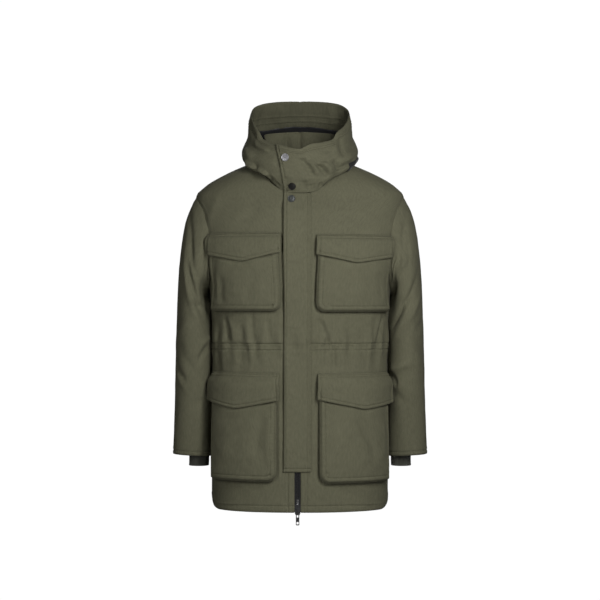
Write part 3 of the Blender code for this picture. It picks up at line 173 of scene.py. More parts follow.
BACK_CREASES = (  # in millimetres, from (around, z) to (around, z)
    # around0 z0     around1 z1      bend    width   out
    (330, -350, 345, -424, 4, 5.5, -4),
    (388, -358, 380, -430, -3, 5, -3.6),
    (440, -340, 446, -422, 2, 5.5, -4.2),
    (492, -362, 498, -424, -2, 4.5, -3),
    (545, -350, 540, -430, 3, 5.5, -3.8),
    (362, -418, 356, -488, 2, 5.5, -3.2),
    (424, -424, 428, -494, -2, 5, -3.4),
    (516, -420, 510, -482, 2, 5.5, -3),
    (-330, -346, -340, -424, -3, 5.5, -3.8),
    (-386, -362, -392, -428, 3, 4.5, -3.4),
    (-440, -338, -434, -424, 2, 6, -4),
    (-492, -356, -496, -426, -2, 5, -3.4),
    (-548, -352, -544, -424, 2, 5, -3),
    (-362, -424, -368, -492, 2, 5, -3.2),
    (-468, -420, -462, -486, -2, 5.5, -3.2),
    (360, -130, 470, -300, 20, 16, -3),
    (-350, -140, -450, -310, -18, 15, -2.8),
    (400, -560, 385, -760, 10, 20, -2.6),
    (-410, -540, -400, -770, -10, 18, -2.4),
    (545, -500, 560, -740, 12, 20, 2.2))

NECK_HALF_WIDTH = 0.0905
NECK_FRONT = 0.1
NECK_BACK = 0.078
NECK_FRONT_SQUARE = 3.0
NECK_BACK_SQUARE = 2.4
NECK_TUCK = 0.0015
ARMHOLE_DIP = 0.3

SLEEVE_CLEAR = 0.0012
SLEEVE_SQUARE = 2.25
SLEEVE_FADE = 6.0
SLEEVE = table(
    "outer_z inner_z depth behind",
    (-0.0755, -0.2945, 0.072, 0.004),
    (-0.092, -0.2965, 0.077, 0.004),
    (-0.112, -0.299, 0.082, 0.004),
    (-0.138, -0.302, 0.086, 0.004),
    (-0.17, -0.307, 0.089, 0.005),
    (-0.208, -0.316, 0.0905, 0.006),
    (-0.25, -0.33, 0.091, 0.007),
    (-0.294, -0.349, 0.09, 0.008),
    (-0.34, -0.375, 0.087, 0.009),
    (-0.385, -0.405, 0.0825, 0.01),
    (-0.43, -0.44, 0.0775, 0.011),
    (-0.478, -0.484, 0.0715, 0.012),
    (-0.528, -0.532, 0.065, 0.014),
    (-0.58, -0.584, 0.058, 0.016),
    (-0.632, -0.636, 0.0515, 0.018),
    (-0.6815, -0.686, 0.046, 0.02))
SLEEVE_RINGS = len(SLEEVE["depth"])
SLEEVE_OUTLINE = table(
    "z       x",
    (-0.69, 0.301),
    (-0.62, 0.2985),
    (-0.555, 0.2962),
    (-0.484, 0.2944),
    (-0.413, 0.2926),
    (-0.35, 0.29),
    (-0.295, 0.288),
    (-0.245, 0.285),
    (-0.2, 0.2808),
    (-0.1415, 0.2714),
    (-0.106, 0.2596),
    (-0.0755, 0.244))
SLEEVE_FOLDS = {  # turn: 0 outer side, 90 front, 180 inside; along: from armhole to cuff; out in mm
    # turn along width height out slant
    1: ((62, 0.16, 30, 0.035, -4, 0.0016),
        (75, 0.27, 34, 0.03, 3.4, -0.0012),
        (88, 0.46, 38, 0.026, -6, 0.0016),
        (70, 0.52, 36, 0.024, 4.4, 0.0014),
        (50, 0.66, 34, 0.028, -3.4, -0.0012),
        (95, 0.8, 32, 0.026, 2.4, -0.0008),
        (146, 0.24, 20, 0.11, -13, 0),
        (176, 0.5, 18, 0.08, 6, 0),
        (260, 0.3, 36, 0.03, -4.4, -0.0014),
        (280, 0.48, 36, 0.024, -5.6, 0.0014),
        (300, 0.58, 34, 0.026, 3.8, -0.001),
        (255, 0.74, 36, 0.026, -3, 0.001)),
    -1: ((55, 0.22, 36, 0.034, -4.8, 0.0026),
         (80, 0.33, 32, 0.026, 3.6, 0.0016),
         (100, 0.48, 34, 0.024, -5, -0.0012),
         (60, 0.6, 36, 0.028, 3.8, -0.001),
         (85, 0.72, 32, 0.026, -3.4, 0.0012),
         (142, 0.27, 24, 0.16, -15, 0),
         (176, 0.39, 18, 0.06, 6, 0),
         (176, 0.87, 20, 0.05, 5, 0),
         (250, 0.28, 36, 0.03, -4.2, -0.0014),
         (275, 0.47, 36, 0.024, -5.4, 0.0012),
         (300, 0.6, 34, 0.026, 4, -0.001),
         (255, 0.77, 36, 0.026, -3.2, 0.001))}
SLEEVE_CREASES = {  # in degrees and shares of the length; bend, width and out in millimetres
    # turn0 along0 turn1 along1 bend   width  out
    1: ((146, 0.075, 96, 0.095, 3, 4.5, -2.8),
        (150, 0.06, 100, 0.078, 3, 5, 2),
        (150, 0.135, 96, 0.15, 2, 4.5, -2.4),
        (150, 0.158, 92, 0.17, 2, 5.5, 1.6),
        (74, 0.14, 100, 0.29, 4, 5.5, 1.8),
        (60, 0.18, 84, 0.33, 4, 6, -1.4),
        (98, 0.43, 152, 0.57, 6, 10, -3.6),
        (84, 0.47, 140, 0.62, 6, 10, 2),
        (168, 0.73, 116, 0.79, 5, 7, -5),
        (164, 0.725, 70, 0.705, -6, 8, 3.4),
        (150, 0.8, 90, 0.845, 4, 8, -1.8),
        (20, 0.56, 70, 0.6, 4, 10, -1.8),
        (250, 0.36, 310, 0.48, 6, 9, -3.4),
        (230, 0.52, 290, 0.47, 6, 8, -3.8),
        (240, 0.62, 310, 0.56, 6, 9, -2.8),
        (200, 0.48, 250, 0.56, 4, 8, -3),
        (260, 0.12, 300, 0.23, 6, 10, -2.4)),
    -1: ((48, 0.2, 134, 0.54, 10, 14, -4),
         (40, 0.26, 118, 0.58, 10, 12, 2.4),
         (104, 0.08, 150, 0.11, 4, 6, -2.2),
         (80, 0.06, 130, 0.21, 8, 9, -2.6),
         (18, 0.705, 76, 0.77, 4, 6, -2.6),
         (22, 0.735, 84, 0.805, 4, 7, 1.8),
         (150, 0.64, 100, 0.72, 5, 8, -3.6),
         (160, 0.6, 110, 0.66, 5, 8, 2.4),
         (140, 0.82, 80, 0.86, 4, 8, -1.8),
         (240, 0.35, 300, 0.46, 6, 9, -3.2),
         (232, 0.54, 300, 0.48, 6, 8, -4),
         (250, 0.63, 310, 0.58, 5, 9, -2.6),
         (200, 0.5, 246, 0.58, 4, 8, -3),
         (262, 0.11, 304, 0.24, 6, 10, -2.4))}

WRIST_CUFF = table(
    "z center_x half_width half_depth center_y",
    (-0.7095, 0.2395, 0.0236, 0.0268, 0.0195),
    (-0.696, 0.239, 0.0238, 0.027, 0.0195),
    (-0.672, 0.2395, 0.024, 0.0275, 0.019),
    (-0.648, 0.245, 0.028, 0.033, 0.0185),
    (-0.63, 0.2543, 0.0402, 0.049, 0.018),
    (-0.618, 0.2544, 0.0412, 0.0502, 0.0177))

HOOD = table(
    "front_y front_z side_x side_z side_y back_y back_z front_square back_square droop",
    (-0.1035, -0.07, 0.0905, 0.011, 0.0, 0.078, 0.021, 3.0, 2.4, 0.0),
    (-0.1085, -0.059, 0.109, 0.0075, 0.0, 0.106, 0.006, 2.7, 2.3, 0.0),
    (-0.1135, -0.047, 0.126, 0.006, 0.004, 0.137, -0.028, 2.5, 2.3, 0.0),
    (-0.118, -0.035, 0.137, 0.016, 0.01, 0.17, -0.048, 2.4, 2.3, 0.0),
    (-0.121, -0.024, 0.1385, 0.033, 0.016, 0.2, -0.026, 2.3, 2.4, 0.0),
    (-0.1225, -0.014, 0.1345, 0.049, 0.02, 0.205, 0.014, 2.3, 2.4, 0.004),
    (-0.1228, -0.005, 0.129, 0.061, 0.022, 0.188, 0.054, 2.2, 2.4, 0.012),
    (-0.1225, 0.004, 0.125, 0.07, 0.022, 0.15, 0.078, 2.1, 2.5, 0.024),
    (-0.122, 0.012, 0.1235, 0.082, 0.022, 0.121, 0.099, 2.0, 2.7, 0.024),
    (-0.1212, 0.02, 0.1222, 0.098, 0.021, 0.107, 0.126, 1.88, 3.0, 0.01),
    (-0.12, 0.027, 0.1178, 0.114, 0.02, 0.093, 0.159, 1.75, 3.2, 0.0))
HOOD_TOP = len(HOOD["front_y"]) - 1
RIM_LIFT = table(  # how far the opening's edge rises above its plain curve, round the hood
    "turn lift",
    (-180, 0.0),
    (-98, 0.0),
    (-82, 0.01),
    (-66, 0.009),
    (-57, 0.005),
    (-49, -0.005),
    (-34, -0.003),
    (-20, 0.001),
    (-2, 0.0),
    (16, 0.009),
    (30, 0.006),
    (43, 0.001),
    (50, 0.011),
    (66, 0.009),
    (82, 0.009),
    (98, 0.0),
    (180, 0.0))
RIM_FROM = 6.5  # ring from which the rise begins
HOOD_FOLDS = (  # in degrees, rings and millimetres
    # at on width rings out slant
    (24, 3.2, 9, 2.6, 3.4, 0.05),
    (38, 2.2, 10, 1.8, -3, 0.04),
    (52, 4.2, 12, 2.2, 3, -0.05),
    (-42, 2.4, 12, 1.6, -4.4, -0.05),
    (-58, 3.4, 12, 1.8, 3.6, -0.04),
    (78, 5.4, 14, 1.4, -3, 0.03),
    (-84, 5.2, 14, 1.4, -3.2, -0.03),
    (128, 4.6, 12, 2.2, 5, 0.03),
    (152, 5.0, 9, 2.4, -5, 0.02),
    (176, 4.2, 10, 2.4, 4.4, 0.02),
    (-132, 4.8, 12, 2.2, 4.8, -0.03),
    (-156, 4.4, 9, 2.4, -4.6, -0.02))
HOOD_CREASES = (  # in degrees, + to the wearer's left, and rings; bend, width and out in millimetres
    # deg0 ring0 deg1 ring1 bend   width  out
    (-70, 1.4, -17, 0.8, 2, 12, -10),
    (-70, 3.3, -20, 2.5, 2, 8, 4),
    (-62, 2.8, -45, 3.2, -3, 8, 3.6),
    (-44, 3.3, -26, 2.6, -3, 7.5, 4),
    (-47, 3.8, -41, 1.4, 1, 5, -4.4),
    (-30, 3.4, -25, 1.2, 1, 4.8, -4.4),
    (-60, 7.2, -33, 7.7, 2, 14, 4),
    (-84, 9.2, -56, 8.4, 2, 12, -3.4),
    (-74, 5, -50, 4.4, 4, 16, 3.4),
    (-26, 7, -17, 4.6, 2, 7, -1.8),
    (0, 7.6, 9, 2.6, 3, 7, -7.2),
    (5, 7, 14, 2.8, 3, 7.5, 4),
    (13, 5.8, 23, 2.2, 3, 6.5, -7.8),
    (18, 6, 28, 2.6, 2, 7.5, 4.4),
    (32, 5.8, 38, 2.6, 2, 6, -7.2),
    (36, 3.4, 66, 3, 3, 12, -5),
    (50, 9.5, 46, 4.6, 3, 7, -3),
    (40, 9, 38, 5.4, 3, 9, 2.6),
    (20, 9, 34, 7.4, 3, 16, -1.8),
    (2, 2.4, 2, 0.1, 1, 3.4, -4.4),
    (-3, 2.2, -2, 0.1, 1, 4, 2.2),
    (8, 1.8, 9, 0.1, 1, 3.6, -3.6),
    (17, 1.7, 19, 0.1, 1, 4, -3.4),
    (-9, 3, -10, 1, 1, 4, -2),
    (-70, 2.2, -96, 3.6, 6, 8, -3.4),
    (76, 2.4, 100, 3.8, 6, 8, -3.4),
    (104, 4, 128, 6.4, 8, 9, -3.6),
    (-104, 4.2, -130, 6.2, 8, 9, -3.6),
    (140, 3, 156, 6, 6, 10, -3.2),
    (-144, 3.2, -160, 6.4, 6, 10, -3.2),
    (120, 7, 150, 7.6, 4, 7, -2.4),
    (-118, 7.2, -150, 7.6, 4, 7, -2.4),
    (112, 8.2, 126, 9.8, 3, 10, 2),
    (146, 8.3, 158, 9.9, 3, 12, -1.8),
    (-128, 8.2, -140, 9.8, 3, 11, 2),
    (-160, 8.4, -168, 9.8, 3, 12, -1.6))
LAP_BOTTOM_X = -0.0345
LAP_TOP_X = -0.055
LAP_RISE = 0.0038
LAP_FADE = 0.035
UNDER_LAP_X = 0.008
FACING_RING = 8
FACING_RISE = 0.11  # rings by which the facing's lower edge curls up from there
LINING_RING = 7
FACING_FROM = 60.0
LINING_FROM = 72.0
STAND_FROM = 48.0
STAND_INSET = 0.004
STAND_LIFT = 0.0004
STAND_TOP = table(
    "turn  z  inset",
    (40, 0.028, 0.008),
    (90, 0.068, 0.0055),
    (130, 0.078, 0.002),
    (180, 0.0852, -0.006))
HOOD_TAPE_FROM = 55.0
HOOD_TAPE_TO = 132.0
HOOD_TAPE_RINGS = (2.1, 3.3)
NECK_REST = 0.0016
NECK_FRONT_REST = 0.0056
HOOD_CLEAR = 0.0024

ZIP_X = -0.0055
ZIP_TOP_Z = -0.076
ZIP_END_Z = -0.803
ZIP_GAP = 0.015
CHAIN_WIDE = 0.0068
CHAIN_DEEP = 0.0014
TAPE_REACH = 0.015
TAPE_THICK = 0.0009
SLIDER_TOP_Z = -0.7862

STORM_FLAP_TOP_LEFT = -0.0368
STORM_FLAP_BOTTOM_LEFT = -0.0395
STORM_FLAP_RIGHT = 0.0237
STORM_FLAP_TOP_Z = -0.0712
STORM_FLAP_BOTTOM_Z = -0.7112
STORM_FLAP_THICK = 0.0026
STORM_FLAP_STAND = 0.0014
STORM_FLAP_DIMPLES = (  # hidden snaps: x, z, radius, out
    (-0.0215, -0.234, 0.0062, 0.0007),
    (-0.015, -0.386, 0.0062, 0.0008),
    (-0.0185, -0.54, 0.0062, 0.0008),
    (-0.019, -0.66, 0.006, 0.0006))

POCKET_REST = 0.0013
FLAP_REST = 0.0009
FLAP_CLEAR = 0.0016
POCKET_EDGE = 0.0024
POCKET_PUFF = 0.002
GUSSET_INSET = 0.006
BAG_DIP = 0.0024
BAG_UNDERCUT = 0.0044
BAG_OUTER_CORNER = 0.007
GUSSET_TUCK = 0.003
POCKET_NAMES = ("chest_right", "chest_left", "lower_right", "lower_left")
POCKETS = table(
    "side in_x out_x_top out_x_bottom mouth_z bottom_z corner mouth_out bottom_out",
    (-1, 0.0465, 0.2065, 0.1985, -0.182, -0.344, 0.019, 0.0098, 0.0148),
    (1, 0.0378, 0.206, 0.1985, -0.186, -0.3455, 0.021, 0.0102, 0.0152),
    (-1, 0.053, 0.1975, 0.1955, -0.508, -0.7345, 0.023, 0.0114, 0.0162),
    (1, 0.0435, 0.1975, 0.1955, -0.509, -0.7385, 0.023, 0.0114, 0.0162))
FLAPS = table(
    "in_x out_x top_z in_z point_x point_z out_z flare",
    (0.0433, 0.2098, -0.164, -0.2091, 0.1341, -0.2292, -0.211, 0.003),
    (0.0385, 0.2088, -0.169, -0.2148, 0.1318, -0.2327, -0.217, 0.004),
    (0.0485, 0.2005, -0.486, -0.5486, 0.14, -0.5676, -0.55, 0.0),
    (0.0405, 0.2005, -0.487, -0.5467, 0.142, -0.5696, -0.556, 0.0))
POCKET_CREASES = {  # in millimetres, from (x0, z0) to (x1, z1), x counted from the middle
    "chest_right": ((175, -255, 170, -332, 3, 8, -2.2),
                    (186, -240, 182, -320, 2, 6, 1.4),
                    (100, -240, 118, -330, 4, 14, -1.4),
                    (140, -250, 150, -310, 4, 12, 1)),
    "chest_left": ((120, -240, 104, -325, 4, 13, -1.6),
                   (175, -245, 178, -320, 2, 8, -1.2),
                   (64, -232, 62, -330, 2, 7, 1)),
    "lower_right": ((78, -570, 96, -680, 5, 12, -3),
                    (64, -575, 70, -700, 3, 9, 1.8),
                    (150, -590, 160, -690, 6, 20, 1.4)),
    "lower_left": ((124, -585, 166, -692, 6, 13, -3),
                   (104, -590, 146, -700, 6, 14, 1.6),
                   (180, -580, 184, -690, 2, 8, 1.2))}

POCKET_DARTS = {  # short tucks at each bag's inner lower corner: x from the middle, and height
    "chest_right": (0.0617, -0.329),
    "chest_left": (0.0612, -0.327),
    "lower_right": (0.0665, -0.7188),
    "lower_left": (0.0592, -0.715)}

SNAPS = table(
    "x z diameter thick",
    (-0.0342, 0.0085, 0.018, 0.0026),
    (-0.0186, -0.057, 0.0175, 0.0026),
    (-0.0198, -0.088, 0.0175, 0.0026))

# rows of topstitching, measured from the edge or seam that they follow
EDGE_ROW = 0.003
FLAP_ROW = 0.006
POCKET_ROW = 0.0135
HEM_ROW = 0.0145
HEM_ROW_SIDE = 0.0085
ZIP_ROW = 0.014
SLEEVE_ROW = 0.0075
ARMHOLE_ROW = 0.005
HOOD_RADIUS = 0.12  # turns degrees into a run round the hood
HOOD_RISE = 0.024  # and rings into a run up it
HOOD_ROWS = (8.62, 9.05)  # rings of the two rows that hold the facing
HOOD_SEAM_ROW = 0.24  # ring of the row above the neck seam
STORM_ROWS_RIGHT = (0.0022, 0.0066)  # the two rows beside the flap's sewn edge
STORM_ROW_LEFT = 0.0058
STORM_ROW_BOTTOM = 0.007
FLAP_TOP_ROWS = (0.002, 0.0082)  # the two rows under a pocket flap's sewn top
GROOVE_DEEP = 0.0009
GROOVE_HALF = 0.0013
DITCH_DEEP = 0.0011
DITCH_HALF = 0.0018


# ---------------------------------------------------------------- settings that a user would change
def color_of(name, what, code):
    """A colour that a user can change, from its sRGB hex code."""
    return FloatVectorProperty(name=name, description="Colour of " + what, subtype="COLOR", size=4,
                               min=0, max=1, default=linear(code))


def length_of(name, what, default, low, high):
    """A length that a user can change, in metres."""
    return FloatProperty(name=name, description=what, subtype="DISTANCE", unit="LENGTH",
                         default=default, min=low, max=high)


def power_of(name, what, default):
    """A lamp's power, in watts."""
    return FloatProperty(name=name, description="Power of the " + what, subtype="POWER", unit="POWER",
                         default=default, min=0)


class ParkaCloth(bpy.types.PropertyGroup):
    """Colours and sizes of the cloth and its sewing."""

    shell: color_of("Shell", "the olive twill", "605f4d")
    thread: color_of("Thread", "the topstitching", "5a5945")
    lining: color_of("Lining", "the band of lining in the hood", "1a1a1c")
    tape: color_of("Tape", "the woven tapes", "121211")
    knit: color_of("Cuff", "the knitted inner cuffs", "44443c")
    stitch_pitch: length_of("Stitch", "From one stitch to the next", 0.0034, 0.002, 0.008)
    stitch_gap: length_of("Stitch gap", "Cloth between two stitches", 0.0007, 0.0001, 0.002)
    thread_wide: length_of("Thread width", "Width of the thread", 0.0009, 0.0003, 0.002)
    crease: FloatProperty(name="Creases", description="Depth of the creases against the tables'",
                          default=1.35, min=0, max=1.5)
    cell: length_of("Cell", "Size of the cloth's cells", 0.0042, 0.003, 0.02)


class ParkaZip(bpy.types.PropertyGroup):
    """Sizes and colours of the zip."""

    tooth_pitch: length_of("Tooth pitch", "From one tooth to the next on one tape", 0.003, 0.002, 0.005)
    tooth_long: length_of("Tooth length", "Length of a tooth across the zip", 0.0042, 0.002, 0.006)
    plastic: color_of("Teeth", "the moulded teeth", "1d1d1e")
    metal: color_of("Slider", "the painted slider", "222223")


class ParkaSnaps(bpy.types.PropertyGroup):
    """Colours of the three snap caps and how finely they are turned."""

    silver: color_of("Hood, top", "the brushed nickel cap", "a2a2a6")
    black: color_of("Hood, bottom", "the black oxide cap", "1f1e1c")
    gunmetal: color_of("Storm flap", "the gunmetal cap", "404241")
    sides: IntProperty(name="Sides", description="Sides of a turned cap", default=48, min=12, max=96)


class ParkaStage(bpy.types.PropertyGroup):
    """Light, floor and camera."""

    key: power_of("Key light", "high soft light a little to the camera's right", 18.0)
    low: power_of("Low light", "low soft light a little to the camera's right", 3.4)
    fill: power_of("Fill light", "light at the camera's left", 5.2)
    back: power_of("Back light", "light behind the garment", 13.0)
    ambient: FloatProperty(name="Ambient", description="Strength of the even light from all round",
                           default=0.06, min=0)
    backdrop: FloatProperty(name="Backdrop", description="Brightness of the white backdrop",
                            default=1.02, min=0)
    camera_away: length_of("Camera distance", "From the camera to the garment's middle", 4.5, 1, 20)
    camera_height: length_of("Camera height", "Height of the level camera", -0.3186, -2, 2)
    view_wide: length_of("View width", "Width seen at the garment's middle", 1.416, 0.1, 10)


# ---------------------------------------------------------------- numbers
def smooth(x, knots, values):
    """Cubic through the knots. Each inner slope is the harmonic mean of its neighbours' slopes, or
    zero at a turning point, so the curve never swings past a knot."""
    knots = np.asarray(knots, float)
    values = np.asarray(values, float)
    step = np.diff(knots)
    rise = np.diff(values) / step
    slope = np.zeros(len(values))
    product = rise[:-1] * rise[1:]
    total = rise[:-1] + rise[1:]
    same = product > 0
    slope[1:-1][same] = 2 * product[same] / total[same]
    slope[0] = rise[0]
    slope[-1] = rise[-1]
    x = np.clip(np.asarray(x, float), knots[0], knots[-1])
    k = np.clip(np.searchsorted(knots, x, side="right") - 1, 0, len(knots) - 2)
    t = (x - knots[k]) / step[k]
    start = (1 + 2 * t) * (1 - t) ** 2 * values[k] + t * (1 - t) ** 2 * step[k] * slope[k]
    end = t * t * (3 - 2 * t) * values[k + 1] + t * t * (t - 1) * step[k] * slope[k + 1]
    return start + end


def power(value, exponent):
    """Signed power, which keeps the sign of the value."""
    return np.sign(value) * np.abs(value) ** exponent


def ease(t):
    """Smooth step from 0 to 1: 3 t² - 2 t³."""
    t = np.clip(t, 0.0, 1.0)
    return t * t * (3 - 2 * t)


def bell(distance, half):
    """A bell: e to the minus square of distance over half."""
    return np.exp(-(distance / half) ** 2)


def unit(vectors):
    """Vectors divided by their length."""
    return vectors / np.maximum(np.linalg.norm(vectors, axis=-1, keepdims=True), 1e-12)


def wrapped(value, period):
    """A value brought within half a period of zero."""
    return (np.asarray(value, float) + period / 2) % period - period / 2


def ripple(a, b, size, seed, period=None):
    """Smooth noise from -1 to 1: random heights on a lattice with cells of the given size, eased
    between its corners. A period, in metres along a, makes it meet itself round a tube."""
    count = 64 if period is None else max(2, round(period / size))
    across = size if period is None else period / count
    heights = np.random.RandomState(seed).uniform(-1, 1, (count, 64))
    x, y = np.broadcast_arrays(np.asarray(a, float) / across, np.asarray(b, float) / size)
    i, j = np.floor(x).astype(int), np.floor(y).astype(int)
    u, v = ease(x - i), ease(y - j)
    low, high = (heights[i % count, k % 64] * (1 - u) + heights[(i + 1) % count, k % 64] * u
                 for k in (j, j + 1))
    return low * (1 - v) + high * v


def folds(a, b, rows, period):
    """The largest folds, as bells: each with its place, its width across a, its height along b, how
    far it stands out in millimetres, and how it slants."""
    total = np.zeros(np.broadcast(a, b).shape)
    for at, on, width, height, out, slant in rows:
        gap = wrapped(a - at, period)
        total = total + 0.001 * out * np.exp(-(gap / width) ** 2 - ((b - on - slant * gap) / height) ** 2)
    return total


def creases(a, b, rows, scale=(0.001, 0.001), period=None):
    """Soft troughs and ridges. Each runs along the line from (a0, b0) to (a1, b1), in units of the
    scale, bowed sideways by bend: out times a bell of its width across the line, times a smooth rise
    and fall along it. Bend, width and out are in millimetres."""
    strength = bpy.context.scene.parka_cloth.crease
    total = np.zeros(np.broadcast(a, b).shape)
    for a0, b0, a1, b1, *sizes in rows:
        bend, width, out = (0.001 * size for size in sizes)
        gap, above = a - a0 * scale[0], b - b0 * scale[1]
        if period:
            gap = wrapped(gap, period)
        run_a, run_b = (a1 - a0) * scale[0], (b1 - b0) * scale[1]
        length = math.hypot(run_a, run_b)
        t = (gap * run_a + above * run_b) / length ** 2
        rise = np.clip(1 - (2 * t - 1) ** 2, 0, 1)
        side = (above * run_a - gap * run_b) / length - bend * rise
        total = total + strength * out * ease(rise * 1.15) * bell(side, width)
    return total


def stitched(distance, along, seed):
    """Cloth beside a row of stitches: a groove under the thread, a low ridge at each side, and small
    puckers along it that fade away from the row."""
    groove = -GROOVE_DEEP * bell(distance, GROOVE_HALF)
    ridge = 0.00055 * bell(np.abs(distance) - 0.0036, 0.002)
    pucker = 0.00034 * ripple(along, distance, 0.0068, seed) * bell(distance, 0.006)
    return groove + ridge + pucker


def ditch(distance):
    """A seam between two pieces: the cloth rolls in toward the line."""
    return -DITCH_DEEP * bell(distance, DITCH_HALF) + 0.0003 * bell(distance - 0.0042, 0.0022)


def graded(start, stop, step, lines=(), zones=(), fine=0.0012):
    """Places from start to stop, a step apart, closer in each zone (low, high, step), and with five
    close places round each line, so that a groove along it has a round bottom."""
    places = list(np.linspace(start, stop, max(2, round((stop - start) / step) + 1)))
    for low, high, close in zones:
        places = [p for p in places if not low < p < high]
        places += list(np.linspace(low, high, max(2, round((high - low) / close) + 1)))
    for line in lines:
        places = [p for p in places if abs(p - line) > 2.6 * fine]
    for line in lines:
        places += [line + k * fine for k in (-2, -1, 0, 1, 2)]
    kept = [start]
    for place in sorted(places):
        if place - kept[-1] > 0.45 * fine and stop - place > 0.45 * fine:
            kept.append(place)
    return np.array(kept + [stop])


# ---------------------------------------------------------------- meshes
def grid_normals(grid, closed=False):
    """Unit normals of a grid of points, rows by columns, from the differences of its neighbours."""
    around = np.roll(grid, -1, axis=1) - np.roll(grid, 1, axis=1) if closed else np.gradient(grid, axis=1)
    return unit(np.cross(around, np.gradient(grid, axis=0)))


def closed_up(grid):
    """A grid with its first column once more at its end."""
    return np.concatenate([grid, grid[:, :1]], axis=1)


def run_lengths(grid):
    """Each point's run along its row and along its column, as the flat cloth's coordinates: the mean
    over the grid of the distances between neighbours, added up."""
    runs = [np.concatenate([[0], np.cumsum(np.linalg.norm(np.diff(grid, axis=axis), axis=-1)
                                           .mean(axis=1 - axis))]) for axis in (1, 0)]
    return np.stack(np.meshgrid(*runs), axis=-1)


def placed(name, data):
    """A new object in the scene."""
    made = bpy.data.objects.new(name, data)
    bpy.context.scene.collection.objects.link(made)
    return made


def new_object(name, points, quads, flat=None, smooth_shade=True):
    """An object from arrays of points and faces, with the UV map of each corner."""
    mesh = bpy.data.meshes.new(name)
    mesh.vertices.add(len(points))
    mesh.vertices.foreach_set("co", np.ascontiguousarray(points, np.float32).ravel())
    mesh.loops.add(quads.size)
    mesh.loops.foreach_set("vertex_index", np.ascontiguousarray(quads, np.int32).ravel())
    mesh.polygons.add(len(quads))
    mesh.polygons.foreach_set("loop_start", np.arange(0, quads.size, quads.shape[1], dtype=np.int32))
    mesh.update(calc_edges=True)
    mesh.validate()
    if flat is not None:
        layer = mesh.uv_layers.new(name="Cloth")
        layer.uv.foreach_set("vector", np.ascontiguousarray(flat, np.float32).ravel())
    if smooth_shade:
        mesh.shade_smooth()
    return placed(name, mesh)


def corners(grid):
    """The four corners of each of a grid's cells, anticlockwise."""
    cells = np.stack([grid[:-1, :-1], grid[:-1, 1:], grid[1:, 1:], grid[1:, :-1]], axis=2)
    return cells.reshape(-1, *cells.shape[2:])


def border(index):
    """Indices of a grid's rim, once round from its lower left corner, and of the point inside each."""
    rows, columns = index.shape
    loop = np.concatenate([index[0, :], index[1:, -1], index[-1, -2::-1], index[-2:0:-1, 0]])
    row, column = np.divmod(loop, columns)
    return loop, index[np.clip(row, 1, rows - 2), np.clip(column, 1, columns - 2)]


def shell(name, grid, thick, closed=False, round_edge=0.35, normals=None):
    """A sheet with thickness: the grid is its outer face, the inner face lies behind it along the
    normals, and a rim whose middle stands out joins the two round the edge."""
    normals = grid_normals(grid, closed) if normals is None else normals
    thick = np.broadcast_to(np.asarray(thick, float), grid.shape[:2])
    outer, inner = grid.reshape(-1, 3), (grid - normals * thick[..., None]).reshape(-1, 3)
    flat = run_lengths(closed_up(grid) if closed else grid)
    count = len(outer)
    index = np.arange(count).reshape(grid.shape[:2])
    faces, faces_flat = corners(closed_up(index) if closed else index), corners(flat)
    points, quads = [outer, inner], [faces, faces[:, ::-1] + count]
    flats = [faces_flat, faces_flat[:, ::-1]]
    if closed:
        loops = ((index[0], index[1], flat[0, :-1]), (index[-1, ::-1], index[-2, ::-1], flat[-1, -2::-1]))
    else:
        loop, inside = border(index)
        loops = ((loop, inside, flat.reshape(-1, 2)[loop]),)
    made = 2 * count
    for loop, inside, loop_flat in loops:
        outward = unit(outer[loop] - outer[inside])
        points.append((outer[loop] + inner[loop]) / 2 + outward * (thick.ravel()[loop] * round_edge)[:, None])
        ring = made + np.arange(len(loop))
        made += len(loop)
        following, ring_next = np.roll(loop, -1), np.roll(ring, -1)
        quads.append(np.stack([following, loop, ring, ring_next], axis=-1))
        quads.append(np.stack([ring_next, ring, loop + count, following + count], axis=-1))
        flats += [np.stack([loop_flat] * 4, axis=1)] * 2
    return new_object(name, np.concatenate(points), np.concatenate(quads),
                      np.concatenate(flats).reshape(-1, 2))


def finish_piece(made, paint, nodes, body="garment"):
    """Gives a piece its material and its body, and hides the CAD nodes that it stands for."""
    made.data.materials.append(paint)
    if nodes:
        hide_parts(*nodes)
    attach(made, body)
    return made


def cloth_piece(name, node, grid, thick, paint,
                closed=False, round_edge=0.35, normals=None):
    """A piece of cloth that stands for its solid: a sheet with thickness, given its material and body in
    place of the solid's CAD node."""
    made = shell(name, grid, thick, closed, round_edge, normals)
    finish_piece(made, paint, [node])
    return made


def resampled(points, normals, pitch):
    """Places a pitch apart along a line of points, with the line's direction and normal at each."""
    run = np.concatenate([[0], np.cumsum(np.linalg.norm(np.diff(points, axis=0), axis=1))])
    count = max(1, int(run[-1] // pitch))
    at = (np.arange(count) + 0.5) * run[-1] / count
    small = run[-1] / count / 4

    def values_at(values, at):
        return np.stack([np.interp(at, run, values[:, k]) for k in range(3)], axis=-1)

    forward = unit(values_at(points, at + small) - values_at(points, at - small))
    return values_at(points, at), forward, unit(values_at(normals, at))


